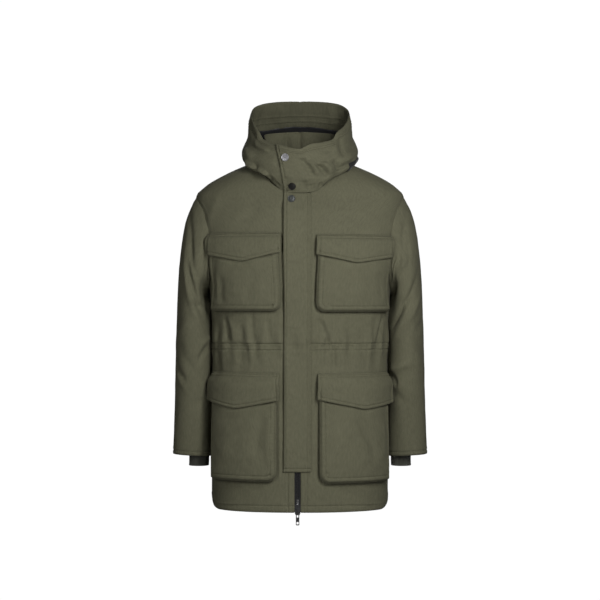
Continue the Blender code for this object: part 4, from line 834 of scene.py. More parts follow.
def stitches(name, lines, paint, body="garment"):
    """Topstitching as one mesh. Each stitch is a grain of eight faces, pointed at both ends and
    widest in its middle, half sunk into its groove."""
    cloth = bpy.context.scene.parka_cloth
    half = (cloth.stitch_pitch - cloth.stitch_gap) / 2
    wide, high = cloth.thread_wide / 2, cloth.thread_wide * 0.42
    sets = [resampled(points, normals, cloth.stitch_pitch) for points, normals in lines]
    place, forward, normal = (np.concatenate(part) for part in zip(*sets))
    side = np.cross(normal, forward)
    place = place + normal * high * 0.35
    grain = np.stack([place - forward * half, place - side * wide, place + normal * high,
                      place + side * wide, place - normal * high, place + forward * half], axis=1)
    pattern = np.array([(0, 1, 4), (0, 2, 1), (0, 3, 2), (0, 4, 3), (5, 4, 1), (5, 1, 2), (5, 2, 3), (5, 3, 4)])
    faces = (6 * np.arange(len(place))[:, None, None] + pattern).reshape(-1, 3)
    return finish_piece(new_object(name, grain.reshape(-1, 3), faces), paint, [], body)


def line_on(surface, a, b, step_a, step_b, top=None):
    """Points and unit normals of a surface at places given by its two parameters, from small steps
    over it. With a top, the second parameter's steps are kept between 0 and the top."""
    a, b = np.broadcast_arrays(np.asarray(a, float), np.asarray(b, float))
    low, high = b - step_b, b + step_b
    if top is not None:
        low, high = np.maximum(low, 0), np.minimum(high, top)
    around = surface(a + step_a, b) - surface(a - step_a, b)
    return surface(a, b), unit(np.cross(around, surface(a, high) - surface(a, low)))


def height_where(above, shape):
    """Height near the neck, found by halving, above which a place meets a condition."""
    low, high = np.full(shape, -0.13), np.full(shape, 0.0295)
    for _ in range(26):
        middle = (low + high) / 2
        met = above(middle)
        low, high = np.where(met, low, middle), np.where(met, middle, high)
    return (low + high) / 2


# ---------------------------------------------------------------- the torso's surface
def girth_angles():
    """The section's angle for each share of the quarter girth, from centre front (0) through the side
    seam (1) to centre back (2), measured on a section of the torso's usual size."""
    angle = np.linspace(0, np.pi, 721)
    x = 0.21 * power(np.sin(angle), 2 / BODY_SQUARE)
    y = -0.14 * power(np.cos(angle), 2 / BODY_SQUARE)
    run = np.concatenate(([0], np.cumsum(np.hypot(np.diff(x), np.diff(y)))))
    half = np.interp(np.pi / 2, angle, run)
    share = np.where(run < half, run / half, 1 + (run - half) / (run[-1] - half))
    return share, angle, half


GIRTH_SHARE, GIRTH_ANGLE, QUARTER_GIRTH = girth_angles()


def body_at(z, key):
    """The torso's half width, front or back depth at a height, as a smooth curve."""
    return smooth(z, BODY["z"], BODY[key])


def section(share, z):
    """A point of the torso's plain form: a level superellipse whose half width and depth are smooth
    curves through the body's table."""
    share = wrapped(share, 4)
    angle = np.sign(share) * np.interp(np.abs(share), GIRTH_SHARE, GIRTH_ANGLE)
    angle, z = np.broadcast_arrays(angle, np.asarray(z, float))
    cos = np.cos(angle)
    depth = np.where(cos >= 0, body_at(z, "front"), body_at(z, "back"))
    x = body_at(z, "half_width") * power(np.sin(angle), 2 / BODY_SQUARE)
    return np.stack([x, -depth * power(cos, 2 / BODY_SQUARE), z], axis=-1)


def share_at_x(x, z):
    """Share of the girth at which the front of the section at height z passes through x."""
    angle = np.arcsin(np.clip(power(x / body_at(z, "half_width"), BODY_SQUARE / 2), -1, 1))
    return np.sign(angle) * np.interp(np.abs(angle), GIRTH_ANGLE, GIRTH_SHARE)


def girth_at(x, z):
    """Girth from centre front, in metres, of a place on the front given by x and height."""
    return float(share_at_x(x, z) * QUARTER_GIRTH)


def rows_to_girth(rows):
    """Creases given by x as seen from the front, turned to the girth from centre front."""
    return [(1000 * girth_at(x0 / 1000, z0 / 1000), z0, 1000 * girth_at(x1 / 1000, z1 / 1000), z1, *sizes)
            for x0, z0, x1, z1, *sizes in rows]


CREASES = (*rows_to_girth(FRONT_CREASES), *BACK_CREASES)


def beside_seam(share):
    """Distance from the side seam, as a share of the quarter girth."""
    return np.abs(np.abs(wrapped(share, 4)) - 1)


def armhole_distance(share, z):
    """Distance outside the armhole, which is an ellipse on the flat cloth round the side seam."""
    across = beside_seam(share) * QUARTER_GIRTH
    rise = z - (ARMPIT_Z + TIP_Z) / 2
    half_across, half_rise = ARMHOLE_DIP * QUARTER_GIRTH, (TIP_Z - ARMPIT_Z) / 2
    reach = np.hypot(across / half_across, rise / half_rise)
    slope = np.hypot(across / half_across ** 2, rise / half_rise ** 2) / np.maximum(reach, 1e-6)
    return (reach - 1) / np.maximum(slope, 1e-6)


def hem_height(share):
    """The hem is level and rises to a corner at each side seam."""
    return HEM_Z + HEM_LIFT * ease(1 - beside_seam(share) / 0.3) ** 1.5


def hem_row(share):
    """Distance from the hem to its row of stitches, less toward the sides."""
    return HEM_ROW + (HEM_ROW_SIDE - HEM_ROW) * ease(1 - beside_seam(share) / 0.7)


def undercut(around, z):
    """How far the panels sink beside what is sewn on them: along the storm flap's free edge and round
    the pockets, so that each has a dark line of shade."""
    along = ease((z - STORM_FLAP_BOTTOM_Z + 0.006) / 0.012) * ease((STORM_FLAP_TOP_Z - 0.012 - z) / 0.02)
    deep = 0.006 * bell(around - 1.02 * storm_left(z) - 0.0006, 0.0029) * along
    for pocket in ALL_POCKETS:
        below = ease((pocket["mouth_z"] - z) / 0.03)
        deep = deep + BAG_UNDERCUT * bell(bag_edge(pocket, pocket["side"] * around, z) - 0.0002, 0.003) * below
    return deep


def body_detail(share, z):
    """How far the cloth stands out of the plain form: the large folds, the creases, the drawn-in
    casing between its two rows of stitches, the hem's row, the seams' ditches and a slight unevenness."""
    around = wrapped(share, 4) * QUARTER_GIRTH
    period = 4 * QUARTER_GIRTH
    out = folds(around * 1000, z * 1000, FOLDS, period * 1000)
    out = out + creases(around, z, CREASES, period=period) - undercut(around, z)
    casing, side = z - CASING_Z, beside_seam(share) * QUARTER_GIRTH
    out = out - 0.0022 * bell(casing, CASING_HALF) * (1 - bell(side, 0.05))
    drawn = (0.0026 * ripple(around, z * 0.22, 0.0105, 5, period)
             + 0.0032 * ripple(around, z * 0.3, 0.021, 6, period))
    out = out + drawn * bell(casing, 0.03)
    for row in (-CASING_HALF, CASING_HALF):
        out = out + (1.7 + 0.6 * ripple(around, z, 0.03, 10, period)) * stitched(casing - row, around, 7)
    out = out + stitched(z - hem_height(share) - hem_row(share), around, 8)
    out = out + np.where((z < ARMPIT_Z) | (z > TIP_Z), ditch(side), 0.0)
    armhole = armhole_distance(share, z)
    out = out + 0.6 * ditch(armhole) * (1 - bell(z - TIP_Z, 0.03)) + stitched(armhole - ARMHOLE_ROW, z, 9)
    return out + 0.0006 * ripple(around, z, 0.04, 1, period) + 0.00025 * ripple(around, z, 0.014, 2, period)


def skin(share, z, out=0.0):
    """A point of the dressed torso, moved out along the plain form's normal."""
    point, normal = line_on(section, share, z, 1e-4, 1e-4)
    return point + normal * np.asarray(body_detail(share, point[..., 2]) + out)[..., None]


def front_at(x, z, out=0.0):
    """A point on the front at x, as seen from the front, and height z, moved out."""
    return skin(share_at_x(x, z), z, out)


def neck_height(share, tuck=0.0):
    """Height at which each column of the torso meets the neck's plan curve, or a curve tucked inside
    it."""
    share = np.asarray(share, float)

    def inside(z):
        x, y, _ = np.moveaxis(section(share, z), -1, 0)
        depth = np.where(y < 0, NECK_FRONT, NECK_BACK) - tuck
        square = np.where(y < 0, NECK_FRONT_SQUARE, NECK_BACK_SQUARE)
        return np.abs(x / (NECK_HALF_WIDTH - tuck)) ** square + np.abs(y / depth) ** square < 1

    return height_where(inside, share.shape)


def panel_shares(start, end, width, start_x=None, end_x=None, lines=()):
    """The share of the girth and the height of each point of a panel. Rows follow the hem, turn level
    and above the armpit rise to the neck. A row's end at a side seam is cut in by the armhole."""
    cell = bpy.context.scene.parka_cloth.cell
    casing = (CASING_Z - CASING_HALF, CASING_Z + CASING_HALF)
    low = graded(HEM_Z, ARMPIT_Z, cell * 1.5, (HEM_Z + HEM_ROW, *casing), ((-0.475, -0.365, 0.0032),))
    turn = np.linspace(0, np.pi, 48)[1:]
    top = float(neck_height(np.array(1.0), NECK_TUCK))
    shoulder = np.linspace(TIP_Z, top, 20)[1:]
    even, round_arm = (np.concatenate([low, ARMPIT_Z + (TIP_Z - ARMPIT_Z) * rise, shoulder])[:, None]
                       for rise in (turn / np.pi, (1 - np.cos(turn)) / 2))
    cut = np.concatenate([0 * low, ARMHOLE_DIP * np.sin(turn), 0 * shoulder])
    u = graded(0, width, cell, lines)[None, :] / width
    start_seam, end_seam = (beside_seam(place) == 0 for place in (start, end))
    beside = np.minimum(u if start_seam else 1.0, 1 - u if end_seam else 1.0) * width
    level = even + (round_arm - even) * ease(1 - beside / 0.085)
    plain = start + (end - start) * u
    lift = hem_height(plain) - HEM_Z
    below = level + lift * (1 - ease((level - HEM_Z - 0.02) / 0.1))
    above = ARMPIT_Z + (neck_height(plain, NECK_TUCK) - ARMPIT_Z) * (level - ARMPIT_Z) / (top - ARMPIT_Z)
    z = np.where(level <= ARMPIT_Z, below, above)
    first = start + cut * start_seam if start_x is None else share_at_x(start_x, z[:, 0])
    final = end - cut * end_seam if end_x is None else share_at_x(end_x, z[:, -1])
    return first[:, None] + (final - first)[:, None] * u, z


class PARKA_OT_body(bpy.types.Operator):
    """Makes the two fronts and the back, with the waist's casing, the hem and their topstitching"""

    bl_idname = "parka.body"
    bl_label = "Fronts and back"

    def execute(self, context):
        width = 0.272
        side_lines = (0.0016, width - ZIP_ROW)
        zip_right, zip_left = ZIP_X - ZIP_GAP / 2, ZIP_X + ZIP_GAP / 2
        panels = (
            ("front_right", -1, 0, width, None, zip_right, side_lines),
            ("front_left", 0, 1, width, zip_left, None, tuple(width - line for line in side_lines)),
            ("back", 1, 3, 2 * QUARTER_GIRTH, None, None, (0.0016, 2 * QUARTER_GIRTH - 0.0016)))
        for name, start, end, width, start_x, end_x, lines in panels:
            share, z = panel_shares(start, end, width, start_x, end_x, lines)
            grid, normals = line_on(skin, share, z, 1e-3, 3e-4)
            edge = end_x if start_x is None else start_x
            if edge is not None:
                grid = grid + normals * stitched(np.abs(grid[..., 0] - edge) - ZIP_ROW, z, 11)[..., None]
            grid[:, 0] += unit(grid[:, 1] - grid[:, 0]) * (SEAM / 2 if start_x is None else 0)
            grid[:, -1] += unit(grid[:, -2] - grid[:, -1]) * (SEAM / 2 if end_x is None else 0)
            thick = 0.0013 + 0.0012 * (1 - ease((z - hem_height(share) - 0.012) / 0.006))
            cloth_piece(name + "_cloth", name, grid, thick, twill(), round_edge=0.3, normals=normals)
        stitches("body_topstitching", self.rows(zip_right, zip_left), thread())
        return {"FINISHED"}

    def rows(self, zip_right, zip_left):
        """The hem's row, the casing's two, one beside each front edge, and the armholes'."""
        gap = 0.02
        lines = []
        for first, final in ((-1 + gap, share_at_x(zip_right - 0.001, HEM_Z)),
                             (share_at_x(zip_left + 0.001, HEM_Z), 1 - gap), (1 + gap, 3 - gap)):
            share = np.linspace(first, final, 420)
            for z in (hem_height(share) + hem_row(share), CASING_Z - CASING_HALF, CASING_Z + CASING_HALF):
                lines.append(line_on(skin, share, z, 1e-3, 5e-4))
        z = np.linspace(HEM_Z + 0.004, STORM_FLAP_BOTTOM_Z - 0.001, 60)
        turn = np.linspace(0, 2 * np.pi, 300)
        across = (ARMHOLE_DIP + ARMHOLE_ROW / QUARTER_GIRTH) * np.sin(turn)
        arm_z = (TIP_Z + ARMPIT_Z) / 2 + ((TIP_Z - ARMPIT_Z) / 2 + ARMHOLE_ROW) * np.cos(turn)
        for side in (-1, 1):
            lines.append(line_on(front_at, ZIP_X + side * (ZIP_GAP / 2 + ZIP_ROW), z, 5e-4, 5e-4))
        for side in (-1, 1):
            lines.append(line_on(skin, side - side * across, arm_z, 1e-3, 5e-4))
        return lines


# ---------------------------------------------------------------- sleeves
def armhole_edge(turn):
    """The wearer's left armhole at each turn: an ellipse on the flat cloth from the shoulder tip down
    the front to the armpit and up the back."""
    z = ARMPIT_Z + (TIP_Z - ARMPIT_Z) * (1 + np.cos(turn)) / 2
    return skin(1 - ARMHOLE_DIP * np.sin(turn), z)


def sleeve_rings(turn, ring):
    """The sleeve's plain form: each ring is an oval between the sleeve's outer line and a line just
    clear of the body, tilted between their heights. The first rings take up the armhole's form."""
    knots = np.arange(SLEEVE_RINGS)
    outer_z, inner_z, depth, behind = (smooth(ring, knots, SLEEVE[key]) for key in SLEEVE)
    outer_x = smooth(outer_z, SLEEVE_OUTLINE["z"], SLEEVE_OUTLINE["x"])
    inner_x = body_at(inner_z, "half_width") + SLEEVE_CLEAR
    lean = power(np.cos(turn), 2 / SLEEVE_SQUARE)
    front = power(np.sin(turn), 2 / SLEEVE_SQUARE)
    x = (outer_x + inner_x) / 2 + (outer_x - inner_x) / 2 * lean
    z = (outer_z + inner_z) / 2 + (outer_z - inner_z) / 2 * lean
    return np.stack([x, behind - depth * front, z], axis=-1)


def sleeve_grid(side):
    """The grid of a sleeve on the wearer's left. Its side picks the folds and creases of one sleeve."""
    cell = bpy.context.scene.parka_cloth.cell
    length, radius = 0.61, 0.075
    along = graded(0, length, cell, (0.0016, length - SLEEVE_ROW))[:, None] / length
    ring = along * (SLEEVE_RINGS - 1)
    count = round(0.46 / cell)
    turn = (2 * np.pi * np.arange(count) / count)[None, :]
    grid = sleeve_rings(turn, ring)
    fade = 1 - ease(ring / SLEEVE_FADE)
    grid = grid + (armhole_edge(turn) - sleeve_rings(turn, 0.0))[0][None] * fade[..., None]
    degrees, period = np.degrees(turn), 2 * np.pi * radius
    a, b = turn * radius, along * length
    out = folds(degrees, along, SLEEVE_FOLDS[side], 360)
    out = out + creases(a, b, SLEEVE_CREASES[side], (math.radians(radius), length), period)
    out = out + 0.0006 * ripple(a, b, 0.04, 20 + side, period)
    out = out + 0.00025 * ripple(a, b, 0.015, 22 + side, period)
    out = out + stitched((1 - along) * length - SLEEVE_ROW, a, 24 + side)
    under = np.radians(wrapped(degrees - 205, 360)) * radius
    out = (out + ditch(np.abs(under)) * ease(along / 0.03)) * ease(along / 0.012)
    grid = grid + grid_normals(grid, True) * out[..., None]
    rolled = 0.6 * ditch(b) * ease(along / 0.004) * (1 - bell(wrapped(degrees, 360), 40))
    return grid + grid_normals(grid, True) * rolled[..., None]


def mirrored(grid):
    """The grid on the wearer's right, with its columns reversed so that it still faces out."""
    return (grid * np.array([-1.0, 1.0, 1.0]))[:, ::-1]


class PARKA_OT_sleeves(bpy.types.Operator):
    """Makes the two sleeves with their underarm seam and the row of stitches round each cuff"""

    bl_idname = "parka.sleeves"
    bl_label = "Sleeves"

    def execute(self, context):
        lines = []
        for side, name in ((1, "left"), (-1, "right")):
            grid = sleeve_grid(side)
            if side < 0:
                grid = mirrored(grid)
            run = np.concatenate([[0], np.cumsum(np.linalg.norm(np.diff(grid[:, 0], axis=0), axis=1))])
            thick = 0.0013 + 0.0011 * ease((run - run[-1] + 0.012) / 0.005)
            cloth_piece("sleeve_" + name + "_cloth", "sleeve_" + name, grid, thick[:, None], twill(),
                        closed=True, round_edge=0.3)
            row = int(np.argmin(np.abs(run[-1] - run - SLEEVE_ROW)))
            lines.append((closed_up(grid)[row], closed_up(grid_normals(grid, True))[row]))
        stitches("sleeve_topstitching", lines, thread())
        return {"FINISHED"}


class PARKA_OT_wrist_cuffs(bpy.types.Operator):
    """Makes the knitted inner cuffs, whose ribs run from the sleeve to the wrist"""

    bl_idname = "parka.wrist_cuffs"
    bl_label = "Inner cuffs"

    ribs: IntProperty(name="Ribs", description="Ribs round a cuff", default=54, min=12, max=120)
    rib_deep: length_of("Rib depth", "From a rib's top to the groove", 0.0009, 0, 0.003)

    def execute(self, context):
        low, high = WRIST_CUFF["z"][0], WRIST_CUFF["z"][-1]
        z = graded(low, high, 0.004, (low + 0.004,))[:, None]
        turn = (2 * np.pi * np.arange(self.ribs * 6) / (self.ribs * 6))[None, :]
        center_x, half_width, half_depth, center_y = (
            smooth(z, WRIST_CUFF["z"], values) for key, values in WRIST_CUFF.items() if key != "z")
        out = self.rib_deep * (np.cos(turn * self.ribs) - 1) / 2 * ease((z - low - 0.001) / 0.004)
        out = out + 0.0005 * ripple(turn * 0.03, z, 0.016, 31, 2 * np.pi * 0.03)
        grid = np.stack([center_x + (half_width + out) * np.cos(turn),
                         center_y + (half_depth + out) * np.sin(turn), z + 0 * turn], axis=-1)
        for name, form in (("left", grid), ("right", mirrored(grid))):
            cloth_piece("wrist_cuff_" + name + "_knit", "wrist_cuff_" + name, form, 0.0011, rib_knit(),
                        closed=True)
        return {"FINISHED"}


# ---------------------------------------------------------------- hood
def plain_height(x, y):
    """Height of the torso's plain form over a place in plan, near the neck."""
    def above(z):
        depth = np.where(y < 0, body_at(z, "front"), body_at(z, "back"))
        half_width = body_at(z, "half_width")
        return np.abs(x / half_width) ** BODY_SQUARE + np.abs(y / depth) ** BODY_SQUARE >= 1

    return height_where(above, np.shape(x))


def parabola(y, row):
    """Height at y on the parabola through a ring's heights at its front, side and back."""
    front, side, back = row["front_y"], row["side_y"], row["back_y"]
    return (row["front_z"] * (y - side) * (y - back) / ((front - side) * (front - back))
            + row["side_z"] * (y - front) * (y - back) / ((side - front) * (side - back))
            + row["back_z"] * (y - front) * (y - side) / ((back - front) * (back - side)))


def hood_egg(angle, row):
    """Plan of a ring of the hood: half a superellipse in front of its sides and half behind."""
    cos = np.cos(angle)
    square = np.where(cos >= 0, row["front_square"], row["back_square"])
    reach = np.where(cos >= 0, row["side_y"] - row["front_y"], row["back_y"] - row["side_y"])
    return row["side_x"] * power(np.sin(angle), 2 / square), row["side_y"] - reach * power(cos, 2 / square)


def hood_form(degrees, ring):
    """A point of the hood's plain form: an egg-shaped section whose height follows a parabola through
    its front, side and back. Below ring 2 it turns into the neck seam on the shoulders."""
    degrees, ring = np.broadcast_arrays(np.asarray(degrees, float), np.asarray(ring, float))
    row = {key: smooth(ring, np.arange(HOOD_TOP + 1), HOOD[key]) for key in HOOD}
    x, y = hood_egg(np.radians(degrees), row)
    z = parabola(y, row)
    back = np.clip((y - row["side_y"]) / (row["back_y"] - row["side_y"]), 0, 1)
    z = z - row["droop"] * (x / row["side_x"]) ** 2 * back
    turn = wrapped(degrees, 360)
    z = z + smooth(turn, RIM_LIFT["turn"], RIM_LIFT["lift"]) * ease((ring - RIM_FROM) / (HOOD_TOP - RIM_FROM))
    if np.any(ring < 2):
        seam = {key: HOOD[key][0] for key in HOOD}
        x0, y0 = hood_egg(np.radians(degrees), seam)
        rest = NECK_REST + NECK_FRONT_REST * ease((60 - np.abs(turn)) / 40)
        z = z + (plain_height(x0, y0) + rest - parabola(y0, seam)) * (1 - ease(ring / 2))
    return np.stack([x, y, z], axis=-1)


def hood_detail(degrees, ring):
    """How far the hood's cloth stands out of its plain form: the large folds as bells, the creases, the
    centre seam's ditch between two rows of stitches, the neck seam's row, the two rows behind the
    opening's edge and a slight unevenness."""
    degrees = wrapped(degrees, 360)
    a, b, period = np.radians(degrees) * HOOD_RADIUS, ring * HOOD_RISE, 2 * np.pi * HOOD_RADIUS
    out = folds(degrees, ring, HOOD_FOLDS, 360)
    out = out + creases(a, b, HOOD_CREASES, (math.radians(HOOD_RADIUS), HOOD_RISE), period)
    out = out + 0.0007 * ripple(a, b, 0.036, 41, period) + 0.0003 * ripple(a, b, 0.013, 42, period)
    centre = np.radians(180 - np.abs(degrees)) * HOOD_RADIUS
    out = out * ease(ring / 0.5) + ditch(centre) + stitched(centre - 0.0045, b, 43)
    for row in HOOD_ROWS:
        out = out + stitched((ring - row) * 0.03, a, 44)
    return out + stitched((ring - HOOD_SEAM_ROW) * 0.022, a, 45)


def hood(degrees, ring, out=0.0):
    """A point of the draped hood, moved out along the plain form's normal but kept above the
    shoulders."""
    degrees, ring = np.broadcast_arrays(np.asarray(degrees, float), np.asarray(ring, float))
    point, normal = line_on(hood_form, degrees, ring, 0.06, 1e-3, HOOD_TOP)
    point = point + normal * np.asarray(hood_detail(degrees, ring) + out)[..., None]
    ground = plain_height(point[..., 0], point[..., 1]) + NECK_REST + HOOD_CLEAR * ease(ring) - out
    point[..., 2] = np.where(ring < 4, np.maximum(point[..., 2], ground), point[..., 2])
    return point


def hood_angle_at_x(x, ring):
    """Angle at which the front of a hood ring passes through x."""
    knots = np.arange(HOOD_TOP + 1)
    half_width = smooth(ring, knots, HOOD["side_x"])
    square = smooth(ring, knots, HOOD["front_square"])
    return np.degrees(np.arcsin(power(x / half_width, square / 2)))


def lapped(degrees, ring, out=0.0):
    """The wearer's left half: its front lies over the other, so it stands off by LAP_RISE and comes
    back to the surface over LAP_FADE."""
    x = hood_form(degrees, ring)[..., 0]
    lift = LAP_RISE * ease((UNDER_LAP_X + 0.004 + LAP_FADE - x) / LAP_FADE) * (np.asarray(degrees) < 90)
    return hood(degrees, ring, lift + out)


def lap_edge(ring, inset=0.0):
    """Angle of the lap's free edge at a ring, or of a line inside it."""
    lap = LAP_BOTTOM_X + (LAP_TOP_X - LAP_BOTTOM_X) * ring / HOOD_TOP
    return hood_angle_at_x(lap + inset, ring)


def neck_ring(degrees, inset, lift):
    """The neck's plan curve drawn in by inset, at the torso's height plus lift."""
    angle = np.radians(degrees)
    front = np.cos(angle) >= 0
    square = np.where(front, NECK_FRONT_SQUARE, NECK_BACK_SQUARE)
    depth = np.where(front, NECK_FRONT, NECK_BACK)
    x = power(np.sin(angle), 2 / square)
    y = -power(np.cos(angle), 2 / square)
    z = plain_height(NECK_HALF_WIDTH * x, depth * y) + lift
    return np.stack([(NECK_HALF_WIDTH - inset) * x, (depth - inset) * y, z], axis=-1)


def hood_line(surface, degrees, ring):
    """Points and normals along a line of the hood, with the steps kept inside its rings."""
    return line_on(surface, degrees, ring, 0.2, 0.02, HOOD_TOP)


class PARKA_OT_hood(bpy.types.Operator):
    """Makes the hood's two halves, the lap over the neck and their topstitching"""

    bl_idname = "parka.hood"
    bl_label = "Hood"

    def execute(self, context):
        cell = context.scene.parka_cloth.cell
        step = 0.026  # from ring to ring, about
        ring = graded(0, HOOD_TOP * step, cell * 0.9, tuple(r * step for r in (HOOD_SEAM_ROW, *HOOD_ROWS)))
        ring = (ring / step)[:, None]
        seam = math.degrees(SEAM / 2 / 0.15)
        width = 0.47
        u = graded(0, width, cell, (FLAP_ROW, width - 0.0045))[None, :] / width
        first = lap_edge(ring)
        grid = lapped(first + (180 - seam - first) * u, ring)
        grid = grid + grid_normals(grid) * stitched(u * width + 0 * ring - FLAP_ROW, ring * step, 46)[..., None]
        cloth_piece("hood_left_cloth", "hood_left", grid, 0.0018, twill(), round_edge=0.4)
        width = 0.42
        u = graded(0, width, cell, (0.0045,))[None, :] / width
        degrees = -180 + seam + (hood_angle_at_x(UNDER_LAP_X, ring) + 180 - seam) * u
        cloth_piece("hood_right_cloth", "hood_right", hood(degrees, ring), 0.0018, twill())
        stitches("hood_topstitching", self.rows(), thread())
        return {"FINISHED"}

    def rows(self):
        """The lap's row, the two behind the opening's edge, the centre seam's and the neck seam's."""
        ring = np.linspace(0.05, HOOD_TOP - 0.1, 160)
        lines = [hood_line(lapped, lap_edge(ring, FLAP_ROW), ring)]
        for row in HOOD_ROWS:
            lines.append(hood_line(lapped, np.linspace(lap_edge(row, 0.004), 178, 260), row))
            lines.append(hood_line(hood, np.linspace(-178, hood_angle_at_x(-0.058, row), 220), row))
        for degrees in (180 - 2.15, -180 + 2.15):
            lines.append(hood_line(hood, degrees, np.linspace(0.4, HOOD_TOP - 0.1, 260)))
        start = lap_edge(HOOD_SEAM_ROW, 0.003)
        lines.append(hood_line(lapped, np.linspace(start, 178, 260), HOOD_SEAM_ROW))
        return lines


class PARKA_OT_hood_inside(bpy.types.Operator):
    """Makes the facing, the band of lining, the collar stand and the tape under the hood's roll"""

    bl_idname = "parka.hood_inside"
    bl_label = "Inside of the hood"

    def execute(self, context):
        cell = context.scene.parka_cloth.cell
        span = math.radians(HOOD_RADIUS)

        def layer(degrees, ring, out=0.0):
            return hood(degrees, ring, -WALL - REST + out)

        def angles(first, last):
            return first + graded(0, (last - first) * span, cell)[None, :] / span

        degrees, step = angles(FACING_FROM, 360 - FACING_FROM), 0.03
        ring = graded(0, 2 * step, cell * 0.8, tuple((row - FACING_RING) * step for row in HOOD_ROWS))
        ring = FACING_RING + ring[:, None] / step
        wavy = FACING_RISE + 0.035 * ripple(np.radians(degrees) * HOOD_RADIUS, 0.0, 0.018, 52)
        ring = ring + wavy * (1 - ease((ring - FACING_RING) / 0.5))
        # the facing's twill is darkened to 0.8 as painted shade, for the shade that falls inside the hood
        cloth_piece("hood_facing_cloth", "hood_facing", layer(degrees, ring), THIN, twill("facing_twill_painted_shade", 0.8))
        degrees = angles(LINING_FROM, 360 - LINING_FROM)
        ring = np.linspace(LINING_RING, FACING_RING + 0.16, 11)[:, None]
        puff = 0.0006 * ripple(np.radians(degrees) * HOOD_RADIUS, ring * 0.026, 0.012, 51)
        cloth_piece("hood_lining_cloth", "hood_lining", layer(degrees, ring, puff), THIN, taffeta())
        stand_row = self.stand(cell)
        tape = hood(angles(HOOD_TAPE_FROM, HOOD_TAPE_TO), np.linspace(*HOOD_TAPE_RINGS, 9)[:, None],
                    1.6 * REST + THIN)
        cloth_piece("hood_tape_woven", "hood_tape", tape, THIN, woven_tape())
        inner = []
        for row in HOOD_ROWS:
            points, normals = hood_line(lambda a, b: layer(a, b, -THIN),
                                        np.linspace(FACING_FROM + 1, 359 - FACING_FROM, 320), row)
            inner.append((points, -normals))
        stitches("hood_inside_topstitching", inner + [stand_row], thread())
        return {"FINISHED"}

    def stand(self, cell):
        """The stand runs from the neck seam to its upper edge in straight lines that lean inward, with
        a ditch at its centre seam and two soft folds. Returns its row of stitches."""
        length, tall = 0.3, 0.08
        u = graded(0, length, cell, (length / 2,))[None, :] / length
        degrees = wrapped(STAND_FROM + (360 - 2 * STAND_FROM) * u, 360)
        rise = graded(0, tall, cell, (tall - EDGE_ROW,))[:, None] / tall
        turn = np.abs(degrees)
        low = neck_ring(degrees, STAND_INSET, STAND_LIFT)
        high = neck_ring(degrees, smooth(turn, STAND_TOP["turn"], STAND_TOP["inset"]), 0.0)
        high[..., 2] = smooth(turn, STAND_TOP["turn"], STAND_TOP["z"])
        grid = low + (high - low) * rise[..., None]
        a, b = np.radians(degrees) * 0.075, rise * tall
        rows = ((-215, 0, -212, 80, 2, 4.5, 7), (-190, 10, -185, 50, 2, 5, 6),
                (205, 10, 200, 70, 2, 6, 1.4), (150, 0, 160, 60, 2, 9, -1.8))
        out = 0.0052 * bell(np.pi * 0.075 - np.abs(a), 0.0023)
        out = out + creases(a, b, rows) + 0.0006 * ripple(a, b, 0.02, 61)
        grid = grid + grid_normals(grid) * out[..., None]
        cloth_piece("collar_stand_cloth", "collar_stand", grid, THIN, twill())
        normals = grid_normals(grid)
        row = int(np.argmin(np.abs(rise[:, 0] - (1 - EDGE_ROW / tall))))
        return grid[row] - normals[row] * THIN, -normals[row]


# ---------------------------------------------------------------- storm flap
def storm_left(z):
    """x of the flap's free edge at a height."""
    down = (z - STORM_FLAP_TOP_Z) / (STORM_FLAP_BOTTOM_Z - STORM_FLAP_TOP_Z)
    return STORM_FLAP_TOP_LEFT + (STORM_FLAP_BOTTOM_LEFT - STORM_FLAP_TOP_LEFT) * down


def storm_surface(x, z, out=0.0):
    """The flap over the zip: it stands off more toward its free left edge, has a groove under each row
    of stitches and a round mark over each hidden snap."""
    x, z = np.broadcast_arrays(np.asarray(x, float), np.asarray(z, float))
    u = np.clip((x - storm_left(z)) / (STORM_FLAP_RIGHT - storm_left(z)), 0, 1)
    lift = REST + STORM_FLAP_THICK + STORM_FLAP_STAND * (1 - u) ** 1.5
    lift = lift + 0.0007 * ripple(x, z, 0.03, 71) * (1 - u) + 0.0003 * ripple(x, z, 0.012, 72)
    lift = lift + 0.0009 * ripple(0 * x, z, 0.06, 73) * (1 - u)
    for row in STORM_ROWS_RIGHT:
        lift = lift + stitched(STORM_FLAP_RIGHT - x - row, z, 74)
    lift = lift + stitched(x - storm_left(z) - STORM_ROW_LEFT, z, 75)
    lift = lift + stitched(z - STORM_FLAP_BOTTOM_Z - STORM_ROW_BOTTOM, x, 76)
    for x0, z0, radius, rise in STORM_FLAP_DIMPLES:
        away = np.hypot(x - x0, z - z0)
        lift = lift + rise * bell(away - radius, 0.0016) - rise * 0.8 * bell(away, radius * 0.6)
        lift = lift - rise * 0.8 * bell(z - z0 - 0.004, 0.0018) * bell(x - x0 + 0.012, 0.012)
    return front_at(x, z, lift + out)


